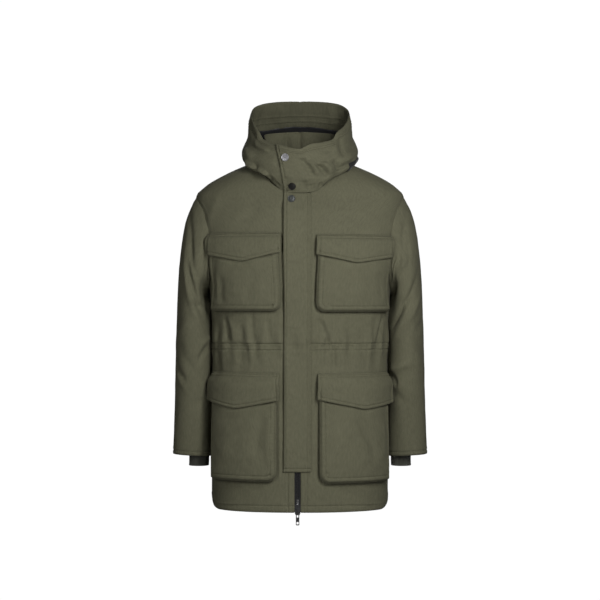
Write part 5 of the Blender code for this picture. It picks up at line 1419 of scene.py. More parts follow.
class PARKA_OT_storm_flap(bpy.types.Operator):
    """Makes the flap over the zip with its topstitching and the marks of its hidden snaps"""

    bl_idname = "parka.storm_flap"
    bl_label = "Storm flap"

    def execute(self, context):
        cell = context.scene.parka_cloth.cell
        width = 0.062
        low_row = STORM_FLAP_BOTTOM_Z + STORM_ROW_BOTTOM
        u = graded(0, width, cell * 0.75, (STORM_ROW_LEFT, *(width - row for row in STORM_ROWS_RIGHT)),
                   fine=0.001)[None, :] / width
        zones = [(z0 - 0.012, z0 + 0.012, 0.002) for _, z0, _, _ in STORM_FLAP_DIMPLES]
        z = graded(STORM_FLAP_BOTTOM_Z, STORM_FLAP_TOP_Z, cell, (low_row,), zones)[:, None]
        x = storm_left(z) + (STORM_FLAP_RIGHT - storm_left(z)) * u
        top = neck_height(share_at_x(x, z)) - 0.005
        z = z + (top - STORM_FLAP_TOP_Z) * ease((z - STORM_FLAP_TOP_Z + 0.04) / 0.04)
        cloth_piece("storm_flap_cloth", "storm_flap", storm_surface(x, z), STORM_FLAP_THICK, twill(),
                    round_edge=0.45)
        z = np.linspace(low_row, STORM_FLAP_TOP_Z - 0.004, 420)
        left = storm_left(z) + STORM_ROW_LEFT
        places = [(left, z), *((STORM_FLAP_RIGHT - row, z) for row in STORM_ROWS_RIGHT),
                  (np.linspace(left[0], STORM_FLAP_RIGHT - STORM_ROWS_RIGHT[1], 60), low_row)]
        lines = [line_on(storm_surface, x, z, 4e-4, 5e-4) for x, z in places]
        stitches("storm_flap_topstitching", lines, thread())
        return {"FINISHED"}


# ---------------------------------------------------------------- pockets
def pocket_rows():
    """The pockets' and flaps' tables as one dictionary for each pocket, with the girths of the bag's
    sides and of the flap's ends and point."""
    rows = []
    for k, name in enumerate(POCKET_NAMES):
        row = {key: float(POCKETS[key][k]) for key in POCKETS}
        row.update({"flap_" + key: float(FLAPS[key][k]) for key in FLAPS}, name=name, seed=80 + 5 * k)
        for end in ("in", "out", "point"):
            row["flap_" + end] = girth_at(row["flap_" + end + "_x"], row["flap_top_z"])
        row["inner"] = girth_at(row["in_x"], (row["mouth_z"] + row["bottom_z"]) / 2)
        row["outer_top"] = girth_at(row["out_x_top"], row["mouth_z"])
        row["outer_bottom"] = girth_at(row["out_x_bottom"], row["bottom_z"])
        row["creases"] = rows_to_girth(POCKET_CREASES[name])
        rows.append(row)
    return rows


ALL_POCKETS = pocket_rows()


def bag_out(pocket, z):
    """How far the bag's face stands off the body at a height."""
    down = (pocket["mouth_z"] - z) / (pocket["mouth_z"] - pocket["bottom_z"])
    return pocket["mouth_out"] + (pocket["bottom_out"] - pocket["mouth_out"]) * ease(down * 1.15)


def bag_line(pocket, inset):
    """The U-shaped line that lies inset inside the bag's edge, from its mouth down the inner side, round
    a corner, along the bottom, round the other corner and up the outer side: girth and height."""
    cell = bpy.context.scene.parka_cloth.cell
    top, edge = pocket["mouth_z"], pocket["bottom_z"]
    low, reach = edge + inset, max(pocket["corner"] - inset, 0.0012)
    outer_reach = max(BAG_OUTER_CORNER - inset, 0.0012)
    inner, far = pocket["inner"] + inset, float(bag_outer(pocket, low)) - inset
    down = np.linspace(top, low + reach, round((top - edge) / cell))
    turn = np.linspace(0, np.pi / 2, 9)[1:-1]
    along = np.linspace(inner + reach, far - outer_reach,
                        round((float(bag_outer(pocket, edge)) - pocket["inner"]) / cell))
    up = np.linspace(top, low + outer_reach, len(down))[::-1]
    g = np.concatenate([inner + 0 * down, inner + reach * (1 - np.cos(turn)), along,
                        far - outer_reach * (1 - np.sin(turn)), bag_outer(pocket, up) - inset])
    z = np.concatenate([down, low + reach * (1 - np.sin(turn)), low + 0 * along,
                        low + outer_reach * (1 - np.cos(turn)), up])
    return g, z


def bag_outer(pocket, z):
    """Girth of the bag's outer side at a height."""
    up = (z - pocket["bottom_z"]) / (pocket["mouth_z"] - pocket["bottom_z"])
    return pocket["outer_bottom"] + (pocket["outer_top"] - pocket["outer_bottom"]) * up


def bag_inset(pocket, g, z):
    """About how far a place is inside the bag's edge: the distances to its three sides, joined by the
    mean of their fifth powers' reciprocals, so that it has no crease at the corners."""
    sides = (g - pocket["inner"], bag_outer(pocket, z) - g, z - pocket["bottom_z"])
    return sum(np.maximum(side, 1e-4) ** -5.0 for side in sides) ** -0.2


def bag_edge(pocket, g, z):
    """How far a place is inside the bag's edge with its round corners, less than 0 outside it."""
    inner, outer = g - pocket["inner"], bag_outer(pocket, z) - g
    side, up = np.minimum(inner, outer), z - pocket["bottom_z"]
    corner = np.where(inner < outer, pocket["corner"], BAG_OUTER_CORNER)
    rounded = corner - np.hypot(corner - np.minimum(side, corner), corner - np.minimum(up, corner))
    return np.where(np.minimum(side, up) < corner, rounded, np.minimum(side, up))


def edge_dip(pocket, g, z):
    """How far the face dips toward the body at its edge, less toward the mouth."""
    near_mouth = ease((pocket["mouth_z"] - z) / 0.06)
    return BAG_DIP * (1 - ease(bag_edge(pocket, g, z) / 0.007)) * (0.35 + 0.65 * near_mouth)


def pocket_face(pocket, g, z, inset):
    """How far the face stands off the body: the bag's own depth, a puff in its middle, its creases, a
    small dart, a crisp edge held by two rows of stitches, and a slight unevenness."""
    deep, seed = bag_inset(pocket, g, z), pocket["seed"]
    out = bag_out(pocket, z) + POCKET_PUFF * 1.1 * ease((deep - 0.004) / 0.045) - edge_dip(pocket, g, z)
    uneven = 0.0008 * ripple(g, z, 0.03, seed) + 0.0003 * ripple(g, z, 0.012, seed + 1)
    x0, z0 = POCKET_DARTS[pocket["name"]]
    across, above = g - girth_at(x0, z0), z - z0
    away = np.hypot(across, above)
    out = out - 0.0034 * bell(away, 0.003) + 0.0016 * bell(away - 0.0062, 0.0028) * bell(across - above, 0.006)
    out = out + (creases(g, z, pocket["creases"]) + uneven) * ease((deep - 0.006) / 0.012)
    out = out - 0.0046 * bell(z - flap_low(pocket, g) + 0.0004, 0.003) + 0.0005 * bell(inset - 0.0008, 0.0012)
    out = out + stitched(inset - EDGE_ROW, g + z, seed + 2)
    return out + 0.7 * stitched(inset - POCKET_ROW, g + z, seed + 3)


def pocket_grid(pocket):
    """The bag: its gusset stands on the body a little inside the face's edge and is tucked in half-way,
    turns over a tight edge and becomes the face, which runs up to the open mouth. Also its two rows."""
    lines = []
    for rise in np.linspace(0, 1, 8)[:-1]:
        inset = GUSSET_INSET * (1 - rise) ** 0.7 + GUSSET_TUCK * math.sin(math.pi * rise)
        g, z = bag_line(pocket, inset)
        face = bag_out(pocket, z) - edge_dip(pocket, g, z) - POCKET_EDGE
        lines.append((g, z, POCKET_REST + (face - POCKET_REST) * rise))
    for turn in np.linspace(0, np.pi / 2, 6)[:-1]:
        g, z = bag_line(pocket, POCKET_EDGE * 0.6 * (1 - math.cos(turn)))
        out = bag_out(pocket, z) - edge_dip(pocket, g, z) - POCKET_EDGE * (1 - math.sin(turn))
        lines.append((g, z, out))
    places = graded(POCKET_EDGE * 0.6, POCKET_ROW + 0.003, 0.003, (EDGE_ROW, POCKET_ROW), fine=0.0009)
    for inset in places:
        g, z = bag_line(pocket, inset)
        lines.append((g, z, pocket_face(pocket, g, z, inset)))
    mouth = np.linspace(g[0] + 0.002, g[-1] - 0.002, len(g))
    height = pocket["mouth_z"] - pocket["bottom_z"]
    for share in np.linspace(0, 1, max(8, round(height / 0.0048)))[1:]:
        row_g, row_z = g + (mouth - g) * share, z + (pocket["mouth_z"] - z) * share
        lines.append((row_g, row_z, pocket_face(pocket, row_g, row_z, 0.05)))
    g, z, out = (np.array(part) for part in zip(*lines))
    grid = skin(pocket["side"] * g / QUARTER_GIRTH, z, out)
    if pocket["side"] < 0:
        grid = grid[:, ::-1]
    normals = grid_normals(grid)
    rows = [12 + int(np.argmin(np.abs(places - inset))) for inset in (EDGE_ROW, POCKET_ROW)]
    return grid, [(grid[row, 4:-4], normals[row, 4:-4]) for row in rows]


def flap_low(pocket, g):
    """Height of the flap's pointed lower edge at a girth: two straight lines that meet at the point,
    rounded where they meet."""
    point, point_z = pocket["flap_point"], pocket["flap_point_z"]
    sides = (point_z + (pocket["flap_" + end + "_z"] - point_z) * (g - point) / (pocket["flap_" + end] - point)
             for end in ("in", "out"))
    return np.maximum(*sides) + 0.0008 * bell(g - point, 0.004)


def flap_surface(pocket, part, share, out=0.0):
    """A pointed flap. part runs from its inner to its outer side and share from its sewn top to its
    lower edge. It climbs from the body to lie over the bag, has a groove under each row of stitches
    along its edges and a round mark over its hidden snap."""
    part, share = np.broadcast_arrays(np.asarray(part, float), np.asarray(share, float))
    top, inner, outer, seed = (pocket[key] for key in ("flap_top_z", "flap_in", "flap_out", "seed"))
    g = inner + (outer - inner) * part
    low = flap_low(pocket, g)
    z = top + (low - top) * share
    lift = smooth(share, (0, 0.13, 0.3, 0.48, 0.74, 1), (0, 0.42, 0.86, 1, 1, 1))
    over = bag_out(pocket, np.minimum(z, pocket["mouth_z"])) + FLAP_CLEAR + POCKET_PUFF
    height = FLAP_REST + WALL + (over - FLAP_REST) * lift
    above, below, beside = top - z, z - low, np.minimum(g - inner, outer - g)
    height = height + 0.0008 * ripple(g, z, 0.032, seed + 10) * ease(share / 0.3)
    height = height + 0.0002 * ripple(g, z, 0.012, seed + 11)
    height = height + 0.0011 * ripple(g, 0 * z, 0.05, seed + 12) * ease((share - 0.5) / 0.5)
    inside_low, inside_side = (ease((gap - FLAP_ROW * 0.4) / 0.002) for gap in (below, beside))
    height = height + stitched(beside - FLAP_ROW, z, seed + 13) * inside_low
    height = height + stitched(below - FLAP_ROW * 1.05, g, seed + 14) * inside_side
    for k, row in enumerate(FLAP_TOP_ROWS):
        height = height + stitched(above - row, g, seed + 15 + k)
    snap = np.hypot(g - pocket["flap_point"], z - pocket["flap_point_z"] - 0.0165)
    height = height + 0.0007 * bell(snap - 0.0062, 0.0018) - 0.0005 * bell(snap, 0.004)
    g = g + pocket["flap_flare"] * share * part ** 3
    return skin(pocket["side"] * g / QUARTER_GIRTH, z, height + out)


class PARKA_OT_pockets(bpy.types.Operator):
    """Makes the four bellows pockets with their pointed flaps and all their topstitching"""

    bl_idname = "parka.pockets"
    bl_label = "Pockets and flaps"

    def execute(self, context):
        cell = context.scene.parka_cloth.cell
        for pocket in ALL_POCKETS:
            left = pocket["side"] > 0
            grid, lines = pocket_grid(pocket)
            bag, name = "pocket_" + pocket["name"], "flap_" + pocket["name"]
            cloth_piece(bag + "_cloth", bag, grid, 0.0016, twill())
            width = pocket["flap_out"] - pocket["flap_in"]
            height = pocket["flap_top_z"] - pocket["flap_point_z"]
            part = graded(0, width, cell * 0.9, (FLAP_ROW, width - FLAP_ROW))[None, :] / width
            share = graded(0, height, cell * 0.8, (0.0024, 0.0084, height - FLAP_ROW), fine=0.001)
            flap = flap_surface(pocket, part, share[:, None] / height)
            cloth_piece(name + "_cloth", name, flap[::-1] if left else flap[::-1, ::-1], WALL, twill(),
                        round_edge=0.45)
            stitches(bag + "_topstitching", lines + self.flap_rows(pocket, width, height), thread())
        return {"FINISHED"}

    def flap_rows(self, pocket, width, height):
        """Two rows under the sewn top, one along the pointed edge and one down each side."""
        inset, drop = FLAP_ROW / width, FLAP_ROW * 1.05

        def tall(part):
            return pocket["flap_top_z"] - flap_low(pocket, pocket["flap_in"] + width * part)

        part = np.linspace(0.01, 0.99, 160)
        places = [(part, row / tall(part)) for row in FLAP_TOP_ROWS]
        part = np.linspace(inset, 1 - inset, 160)
        places.append((part, 1 - drop / tall(part)))
        under_rows = (FLAP_TOP_ROWS[1] + 0.0002) / height
        for at in (inset, 1 - inset):
            places.append((at, np.linspace(under_rows, 1 - drop / tall(at), 50)))
        lines = [line_on(lambda a, b: flap_surface(pocket, a, b), part, share, 2e-3, 4e-3)
                 for part, share in places]
        return [(points, -pocket["side"] * normals) for points, normals in lines]


# ---------------------------------------------------------------- zip
def merged_copy(node, name):
    """A copy of a CAD node's mesh with its loose triangles joined and its flat faces made whole."""
    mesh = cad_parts[node].data.copy()
    mesh.name = name
    mesh.materials.clear()
    shape = bmesh.new()
    shape.from_mesh(mesh)
    bmesh.ops.remove_doubles(shape, verts=shape.verts, dist=1e-6)
    bmesh.ops.dissolve_limit(shape, angle_limit=math.radians(1), verts=shape.verts, edges=shape.edges)
    shape.to_mesh(mesh)
    shape.free()
    return placed(name, mesh)


class PARKA_OT_zip(bpy.types.Operator):
    """Makes the zip: woven tapes, two rows of moulded teeth, the slider and its hinged pull"""

    bl_idname = "parka.zip"
    bl_label = "Zip"

    def execute(self, context):
        z = graded(ZIP_END_Z, ZIP_TOP_Z, 0.006)[:, None]
        half = CHAIN_WIDE / 2
        for side, name in ((1, "left"), (-1, "right")):
            ends = sorted((ZIP_X + side * half * 0.5, ZIP_X + side * TAPE_REACH))
            x = np.linspace(*ends, 9)[None, :]
            out = -WALL - 0.0006 + 0.0003 * bell(np.abs(x - ZIP_X) - half - 0.001, 0.0008)
            cloth_piece("zip_tape_" + name + "_woven", "zip_tape_" + name, front_at(x + 0 * z, z + 0 * x, out),
                        TAPE_THICK, woven_tape())
        self.teeth(context.scene.parka_zip)
        for node, name, body, wide in (("zip_slider", "zip_slider_cast", "garment", 0.00035),
                                       ("zip_pull", "zip_pull_stamped", "zip_pull", 0.00022)):
            made = merged_copy(node, name)
            bevel = made.modifiers.new("rounded edges", "BEVEL")
            bevel.width = wide
            bevel.segments = 2
            bevel.limit_method = "ANGLE"
            bevel.angle_limit = math.radians(35)
            bevel.use_clamp_overlap = True
            made.data.shade_smooth()
            made.data.set_sharp_from_angle(angle=math.radians(40))
            finish_piece(made, painted_zinc(), [node], body)
        return {"FINISHED"}

    def teeth(self, settings):
        """Each tooth is a block across the zip that narrows from its root on the tape, swells at its
        head past the middle and meshes with the other side's, half a pitch on."""
        pitch = settings.tooth_pitch
        count = int((ZIP_TOP_Z - SLIDER_TOP_Z - 0.001) / pitch)
        stations = ((0.0, 0.44), (0.3, 0.4), (0.62, 0.26), (0.8, 0.36), (1.0, 0.22))
        last = 4 * (len(stations) - 1)
        faces = np.array([(3, 2, 1, 0)] + [(k + a, k + (a + 1) % 4, k + 4 + (a + 1) % 4, k + 4 + a)
                                           for k in range(0, last, 4) for a in range(4)]
                         + [(last, last + 1, last + 2, last + 3)])
        points, quads = [], []
        for side in (1, -1):
            z = SLIDER_TOP_Z + 0.001 + pitch * (np.arange(count) + (0.25 if side > 0 else 0.75))
            root = front_at(ZIP_X + side * (CHAIN_WIDE / 2) + 0 * z, z, -CHAIN_DEEP)
            block = np.array([(-side * settings.tooth_long * reach,
                               0.001 + deep * (0.0012 if reach < 0.9 else 0.0009), high * half * pitch)
                              for reach, half in stations
                              for high, deep in ((-1, -1), (1, -1), (1, 1), (-1, 1))])
            first = len(block) * (np.arange(count) + len(points) * count)
            quads.append((first[:, None, None] + (faces[:, ::-1] if side > 0 else faces)).reshape(-1, 4))
            points.append((root[:, None] + block).reshape(-1, 3))
        row = new_object("zip_teeth_moulded", np.concatenate(points), np.concatenate(quads), smooth_shade=False)
        finish_piece(row, acetal(), ["zip_chain"])


# ---------------------------------------------------------------- snaps
def turned_cap(name, centre, normal, diameter, thick, sides):
    """A snap cap: a profile of radius and height turned round its normal. The flat top is slightly
    sunk inside a round rim, with a shallow ring and a small centre mark left by the press."""
    side = unit(np.cross(normal, (0.0, 0.0, 1.0)))
    up = np.cross(side, normal)
    radius, height = np.array([
        (0.9, 0.0), (0.985, 0.12), (1.0, 0.4), (0.985, 0.68), (0.95, 0.88), (0.9, 0.96),
        (0.85, 0.93), (0.8, 0.8), (0.77, 0.76), (0.72, 0.78), (0.5, 0.86), (0.3, 0.9), (0.16, 0.91),
        (0.12, 0.86), (0.07, 0.84)]).T * np.array([[diameter / 2], [thick]])
    turn = 2 * np.pi * np.arange(sides) / sides
    around = side * np.cos(turn)[:, None] + up * np.sin(turn)[:, None]
    rings = centre + around[None] * radius[:, None, None] + normal * height[:, None, None]
    points = np.concatenate([rings.reshape(-1, 3), [centre], [centre + normal * height[-1]]])
    index = np.arange(rings.shape[0] * sides).reshape(-1, sides)
    caps = [(index.size, *pair) for pair in zip(np.roll(index[0], -1), index[0])]
    caps += [(index.size + 1, *pair) for pair in zip(index[-1], np.roll(index[-1], -1))]
    mesh = bpy.data.meshes.new(name)
    mesh.from_pydata(points.tolist(), [], corners(closed_up(index)).tolist() + np.array(caps).tolist())
    mesh.shade_smooth()
    shape = bmesh.new()
    shape.from_mesh(mesh)
    bmesh.ops.recalc_face_normals(shape, faces=shape.faces)
    shape.to_mesh(mesh)
    shape.free()
    return placed(name, mesh)


class PARKA_OT_snaps(bpy.types.Operator):
    """Makes the three snap caps: silver and black on the hood, gunmetal on the storm flap"""

    bl_idname = "parka.snaps"
    bl_label = "Snaps"

    def execute(self, context):
        settings = context.scene.parka_snaps
        degrees = np.linspace(-32, 8, 81)[None, :]
        ring = np.linspace(0, HOOD_TOP, 141)[:, None]
        surface = lapped(degrees + 0 * ring, ring + 0 * degrees, REST)
        finishes = (("hood_top", "nickel", "snap_silver", settings.silver, 0.32),
                    ("hood_bottom", "black_oxide", "snap_black", settings.black, 0.38),
                    ("storm_flap", "gunmetal", "snap_gunmetal", settings.gunmetal, 0.34))
        for k, (place, finish, slot, color, rough) in enumerate(finishes):
            x, z, diameter, thick = (SNAPS[key][k] for key in SNAPS)
            if place == "storm_flap":
                centre, normal = line_on(storm_surface, x, z, 3e-3, 3e-3)
                centre = centre + normal * REST
                normal = unit(normal + (0, -1.2, 0))  # it sits on a lump of the cloth, turned to the front
            else:
                away = np.hypot(surface[..., 0] - x, surface[..., 2] - z)
                row, column = np.unravel_index(np.argmin(away), away.shape)
                centre = surface[row, column]
                normal = line_on(hood_form, degrees[0, column], ring[row, 0], 0.06, 1e-3, HOOD_TOP)[1]
            node = "snap_" + place
            made = turned_cap(node + "_cap", centre, normal, diameter, thick, settings.sides)
            finish_piece(made, plated_steel(finish, color, rough), [node])
        return {"FINISHED"}


# ---------------------------------------------------------------- materials
def add(tree, kind, inputs=None, **settings):
    """Adds a node: settings are its properties, and inputs are values or other nodes' outputs."""
    made = tree.nodes.new(kind)
    for key, value in settings.items():
        setattr(made, key, value)
    for key, value in (inputs or {}).items():
        if isinstance(value, bpy.types.NodeSocket):
            tree.links.new(value, made.inputs[key])
        else:
            made.inputs[key].default_value = value
    return made


def principled(name, **sockets):
    """A material with one Principled shader whose constants are on its own sockets."""
    found = bpy.data.materials.get(name)
    if found:
        return found, None, None
    made = bpy.data.materials.new(name)
    made.use_nodes = True
    shader = made.node_tree.nodes["Principled BSDF"]
    for key, value in sockets.items():
        shader.inputs[key.replace("_", " ")].default_value = value
    return made, made.node_tree, shader


def shaded(color, by):
    """A colour made lighter or darker."""
    return tuple(min(1.0, channel * by) for channel in color[:3]) + (1.0,)


def flat_cloth(tree):
    """The cloth's own flat coordinates, in metres."""
    return add(tree, "ShaderNodeUVMap", uv_map="Cloth").outputs["UV"]


WAVE_PERIOD = 2 * math.pi / 20  # of a Wave texture at scale 1, across its bands


def object_place(tree):
    """The object's own coordinates, in metres."""
    return add(tree, "ShaderNodeTexCoord").outputs["Object"]


def noise(tree, vector, size_mm, detail, rough=0.5):
    """Noise with grains of about the given size."""
    return add(tree, "ShaderNodeTexNoise", {"Vector": vector, "Scale": 1000 / size_mm, "Detail": detail,
                                            "Roughness": rough}).outputs[0]


def waves(tree, vector, period_mm, across="X", **inputs):
    """Bands a period apart across an axis."""
    inputs = {key.replace("_", " "): value for key, value in inputs.items()}
    inputs.update({"Vector": vector, "Scale": 1000 * WAVE_PERIOD / period_mm})
    return add(tree, "ShaderNodeTexWave", inputs, bands_direction=across).outputs[1]


def blend(tree, factor, low, high, **settings):
    """A mix of two colours."""
    made = add(tree, "ShaderNodeMix", {"Factor": factor, "A": low, "B": high}, data_type="RGBA", **settings)
    return made.outputs["Result"]


def shades(tree, factor, color, low, high):
    """A colour between a darker and a lighter one of its shades."""
    return blend(tree, factor, shaded(color, low), shaded(color, high))


def combined(tree, one, other, operation="ADD"):
    """Two values made one."""
    return add(tree, "ShaderNodeMath", {0: one, 1: other}, operation=operation).outputs[0]


def dress(tree, shader, color, height, strength, deep_mm):
    """Gives a shader its colour, where there is one, and its bump."""
    if color is not None:
        tree.links.new(color, shader.inputs["Base Color"])
    bump = add(tree, "ShaderNodeBump", {"Strength": strength, "Distance": deep_mm / 1000, "Height": height})
    tree.links.new(bump.outputs[0], shader.inputs["Normal"])


def twill(name="cotton_twill", shade=1.0):
    """Cotton twill, woven and washed: matt olive with a faint diagonal wale, slubs a few millimetres
    long where the yarn is thicker, and broad uneven fading. The real wale is 0.7 mm apart and is drawn
    at 1.5 mm, so that it shows. A shade below 1 darkens the whole colour: painted shade, for cloth
    that lies in shade inside the hood."""
    # a shade below 1 is painted shade: a darker copy of the twill for cloth that sits in shade
    color = shaded(bpy.context.scene.parka_cloth.shell, shade)
    made, tree, shader = principled(name, Roughness=0.9, Sheen_Weight=0.02, Sheen_Roughness=0.5,
                                    Specular_IOR_Level=0.12)
    if tree is None:
        return made
    flat = flat_cloth(tree)
    wale_mm, yarn_mm, slub_mm, fade_mm = 1.5, 1.1, 4.5, 70
    turned = add(tree, "ShaderNodeMapping", {"Vector": flat, "Rotation": (0, 0, math.radians(62))})
    wale = waves(tree, turned.outputs[0], wale_mm, Distortion=0.6, Detail=1.0, Detail_Scale=1.2)
    stretched = add(tree, "ShaderNodeMapping", {"Vector": flat, "Scale": (1.0, 0.35, 1.0)})
    slub = noise(tree, stretched.outputs[0], slub_mm, 4, 0.65)
    speck = add(tree, "ShaderNodeMapRange", {"Value": slub, "From Min": 0.35, "From Max": 0.65})
    broad = shades(tree, noise(tree, flat, fade_mm, 3, 0.55), color, 0.86, 1.16)
    both = blend(tree, 0.45, broad, shades(tree, speck.outputs[0], color, 0.8, 1.2))
    lined = add(tree, "ShaderNodeMapRange", {"Value": wale, "To Min": 0.9, "To Max": 1.06}).outputs[0]
    grey = add(tree, "ShaderNodeCombineColor", {0: lined, 1: lined, 2: lined})
    final = blend(tree, 1.0, both, grey.outputs[0], blend_type="MULTIPLY")
    height = combined(tree, combined(tree, wale, slub), noise(tree, flat, yarn_mm, 2))
    dress(tree, shader, final, height, 0.35, 0.35)
    return made


def thread():
    """Spun polyester thread: slightly shinier and a little lighter than the twill, twisted, so that
    each stitch shows a few slanting strands."""
    made, tree, shader = principled("spun_polyester_thread", Roughness=0.62, Specular_IOR_Level=0.2)
    if tree is None:
        return made
    strand_mm = 0.5
    color = bpy.context.scene.parka_cloth.thread
    strands = shades(tree, noise(tree, object_place(tree), strand_mm, 1), color, 0.75, 1.2)
    tree.links.new(strands, shader.inputs["Base Color"])
    return made


def taffeta():
    """Black polyester taffeta lining: smooth, slightly shiny, with fine cross ribs, and its soft puckers
    painted into the colour as lighter and darker patches: painted shade and painted highlight.
    """
    made, tree, shader = principled("polyester_taffeta", Roughness=0.5, Sheen_Weight=0.2)
    if tree is None:
        return made
    flat = flat_cloth(tree)
    rib_mm, pucker_shading_mm = 1.2, 9
    # patches lighter and darker than the lining's colour paint the shade and highlights of soft puckers
    color = shades(tree, noise(tree, flat, pucker_shading_mm, 3), bpy.context.scene.parka_cloth.lining, 0.7, 1.5)
    dress(tree, shader, color, waves(tree, flat, rib_mm, Distortion=0.4), 0.3, 0.2)
    return made


def woven_tape():
    """Black polyester herringbone tape: matt, with a chevron weave 1.6 mm wide."""
    made, tree, shader = principled("herringbone_tape", Roughness=0.78, Sheen_Weight=0.15)
    if tree is None:
        return made
    chevron_mm, turn_mm = 1.6, 3.2
    parts = add(tree, "ShaderNodeSeparateXYZ", {0: flat_cloth(tree)})
    folded = combined(tree, parts.outputs[0], turn_mm / 1000, "PINGPONG")
    vector = add(tree, "ShaderNodeCombineXYZ", {0: combined(tree, folded, parts.outputs[1])})
    rib = waves(tree, vector.outputs[0], chevron_mm)
    color = shades(tree, rib, bpy.context.scene.parka_cloth.tape, 0.7, 1.35)
    dress(tree, shader, color, rib, 0.4, 0.2)
    return made


def rib_knit():
    """Dark acrylic rib knit: soft and matt, with rows of loops 2 mm high across the modelled ribs and
    a slight fuzz."""
    made, tree, shader = principled("acrylic_rib_knit", Roughness=0.92, Sheen_Weight=0.5, Sheen_Roughness=0.4)
    if tree is None:
        return made
    flat = flat_cloth(tree)
    loop_mm, fuzz_mm = 2.0, 1.5
    loops = waves(tree, flat, loop_mm, "Y", Distortion=2.0, Detail=1.0)
    mixed = combined(tree, loops, noise(tree, flat, fuzz_mm, 3), "MULTIPLY")
    dress(tree, shader, shades(tree, mixed, bpy.context.scene.parka_cloth.knit, 0.65, 1.5), mixed, 0.5, 0.4)
    return made


def acetal():
    """Black acetal, injection moulded: satin teeth with a faint mould grain."""
    made, tree, shader = principled("moulded_acetal", Roughness=0.45, Specular_IOR_Level=0.3,
                                    Base_Color=bpy.context.scene.parka_zip.plastic)
    if tree is None:
        return made
    grain_mm = 0.8
    dress(tree, shader, None, noise(tree, object_place(tree), grain_mm, 2), 0.15, 0.1)
    return made


def painted_zinc():
    """Die-cast zinc, stove enamelled black: smooth and satin, rubbed to dark grey in small patches."""
    made, tree, shader = principled("enamelled_zinc", Roughness=0.40, Specular_IOR_Level=0.25)
    if tree is None:
        return made
    patch_mm = 3.0
    wear = noise(tree, object_place(tree), patch_mm, 4, 0.6)
    rubbed = add(tree, "ShaderNodeMapRange", {"Value": wear, "From Min": 0.52, "From Max": 0.72})
    color = shades(tree, rubbed.outputs[0], bpy.context.scene.parka_zip.metal, 1.0, 1.8)
    dress(tree, shader, color, wear, 0.1, 0.1)
    return made


def plated_steel(name, color, rough):
    """Pressed steel, plated and brushed: a metal whose fine scratches spread its highlights."""
    made, tree, shader = principled("brushed_" + name + "_steel", Roughness=rough, Metallic=0.6)
    if tree is None:
        return made
    scratch_mm = 0.25
    drawn = add(tree, "ShaderNodeMapping", {"Vector": object_place(tree), "Scale": (1.0, 1.0, 0.08)})
    scratch = noise(tree, drawn.outputs[0], scratch_mm, 2)
    dress(tree, shader, shades(tree, scratch, color, 0.85, 1.1), scratch, 0.12, 0.05)
    return made


# ---------------------------------------------------------------- stage
SOFTBOX_AWAY = 1.6
LIT_HEIGHT = -0.33  # of the point that the lights face


class PARKA_OT_stage(bpy.types.Operator):
    """Sets the camera, the soft lights, the pale floor and the white backdrop"""

    bl_idname = "parka.stage"
    bl_label = "Stage"

    def execute(self, context):
        settings = context.scene.parka_stage
        scene = context.scene
        scene.view_settings.view_transform = "Standard"
        camera = placed("camera", bpy.data.cameras.new("camera"))
        camera.location = (0, -settings.camera_away, settings.camera_height)
        camera.rotation_euler = (math.pi / 2, 0, 0)
        camera.data.angle = 2 * math.atan(settings.view_wide / 2 / settings.camera_away)
        scene.camera = camera
        self.light("key_softbox", settings.key, 23, 20, (0.36, 1.0))
        self.light("low_softbox", settings.low, 10, -26, (0.5, 0.5))
        self.light("fill_softbox", settings.fill, -32, 5, (0.5, 0.8))
        self.light("back_softbox", settings.back, 180, 30, (0.9, 0.9))
        world = bpy.data.worlds.new("even_light")
        world.use_nodes = True
        world.node_tree.nodes["Background"].inputs["Color"].default_value = (1, 1, 1, 1)
        world.node_tree.nodes["Background"].inputs["Strength"].default_value = settings.ambient
        scene.world = world
        floor = self.disc("floor", 2.4, -1.75, matt_white())
        dome = self.dome("backdrop", 9.0, glowing_white(settings.backdrop))
        floor.visible_diffuse = dome.visible_diffuse = False
        floor.visible_glossy = dome.visible_glossy = False
        dome.visible_transmission = False
        dome.visible_shadow = False
        return {"FINISHED"}

    def light(self, name, energy, azimuth, elevation, size):
        """A softbox turned toward the garment's middle, from so many degrees to the camera's right and
        so many above level."""
        lamp = bpy.data.lights.new(name, "AREA")
        lamp.shape = "RECTANGLE"
        lamp.size, lamp.size_y = size
        lamp.energy = energy
        made = placed(name, lamp)
        across, up = math.radians(azimuth), math.radians(elevation)
        toward = -SOFTBOX_AWAY * np.array((math.sin(across) * math.cos(up), -math.cos(across) * math.cos(up),
                                           math.sin(up)))
        made.location = np.array((0.0, 0.0, LIT_HEIGHT)) - toward
        made.rotation_euler = (math.acos(-toward[2] / SOFTBOX_AWAY), 0,
                               math.atan2(toward[1], toward[0]) - math.pi / 2)
        made.visible_camera = False

    def disc(self, name, radius, z, paint):
        """A round floor."""
        turn = 2 * np.pi * np.arange(64) / 64
        mesh = bpy.data.meshes.new(name)
        mesh.from_pydata([(radius * math.cos(t), radius * math.sin(t), z) for t in turn], [],
                         [tuple(range(64))])
        mesh.materials.append(paint)
        return placed(name, mesh)

    def dome(self, name, radius, paint):
        """A sphere round the whole scene, seen from inside."""
        shape = bmesh.new()
        bmesh.ops.create_uvsphere(shape, u_segments=48, v_segments=24, radius=radius)
        bmesh.ops.reverse_faces(shape, faces=shape.faces)
        mesh = bpy.data.meshes.new(name)
        shape.to_mesh(mesh)
        shape.free()
        mesh.materials.append(paint)
        return placed(name, mesh)


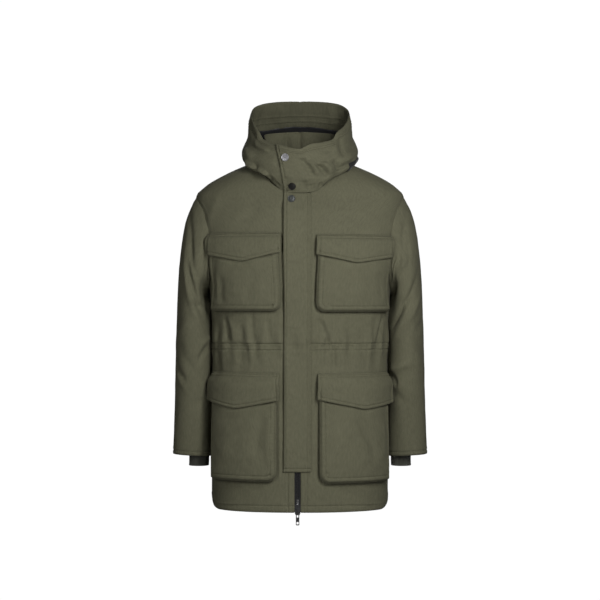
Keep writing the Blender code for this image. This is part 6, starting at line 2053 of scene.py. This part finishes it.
def matt_white():
    """Painted studio floor: matt white, with an even glow of its own."""
    made, _, _ = principled("matt_white_paint", Base_Color=(0.86, 0.86, 0.86, 1), Roughness=0.9,
                            Emission_Color=(1, 1, 1, 1), Emission_Strength=0.5)
    return made


def glowing_white(strength):
    """A lit white backdrop, so bright that it shows no form."""
    made = bpy.data.materials.new("lit_backdrop")
    made.use_nodes = True
    tree = made.node_tree
    tree.nodes.clear()
    glow = add(tree, "ShaderNodeEmission", {"Color": (1, 1, 1, 1), "Strength": strength})
    add(tree, "ShaderNodeOutputMaterial", {"Surface": glow.outputs[0]})
    return made


# ---------------------------------------------------------------- the add-on
class PARKA_PT_pieces(bpy.types.Panel):
    """Lists the parka's pieces and settings"""

    bl_idname = "PARKA_PT_pieces"
    bl_label = "Hooded Parka"
    bl_space_type = "VIEW_3D"
    bl_region_type = "UI"
    bl_category = "Parka"

    def draw(self, context):
        for key in GROUPS:
            group, box = getattr(context.scene, key), self.layout.box()
            for name in group.bl_rna.properties.keys():
                if name not in ("rna_type", "name"):
                    box.prop(group, name)
        for operator in OPERATORS:
            self.layout.operator(operator.bl_idname)


GROUPS = {"parka_cloth": ParkaCloth, "parka_zip": ParkaZip, "parka_snaps": ParkaSnaps,
          "parka_stage": ParkaStage}
OPERATORS = (PARKA_OT_body, PARKA_OT_sleeves, PARKA_OT_wrist_cuffs, PARKA_OT_hood, PARKA_OT_hood_inside,
             PARKA_OT_storm_flap, PARKA_OT_pockets, PARKA_OT_zip, PARKA_OT_snaps, PARKA_OT_stage)


def register():
    for made in (*GROUPS.values(), *OPERATORS, PARKA_PT_pieces):
        bpy.utils.register_class(made)
    for name, group in GROUPS.items():
        setattr(bpy.types.Scene, name, PointerProperty(type=group))


def unregister():
    for name in GROUPS:
        delattr(bpy.types.Scene, name)
    for made in reversed((*GROUPS.values(), *OPERATORS, PARKA_PT_pieces)):
        bpy.utils.unregister_class(made)


def plain(box):
    """A box's corners as lists of numbers."""
    return [[float(value) for value in corner] for corner in box]


def main():
    register()
    for operator in OPERATORS:
        group, name = operator.bl_idname.split(".")
        getattr(getattr(bpy.ops, group), name)()


if __name__ == "__main__":
    main()
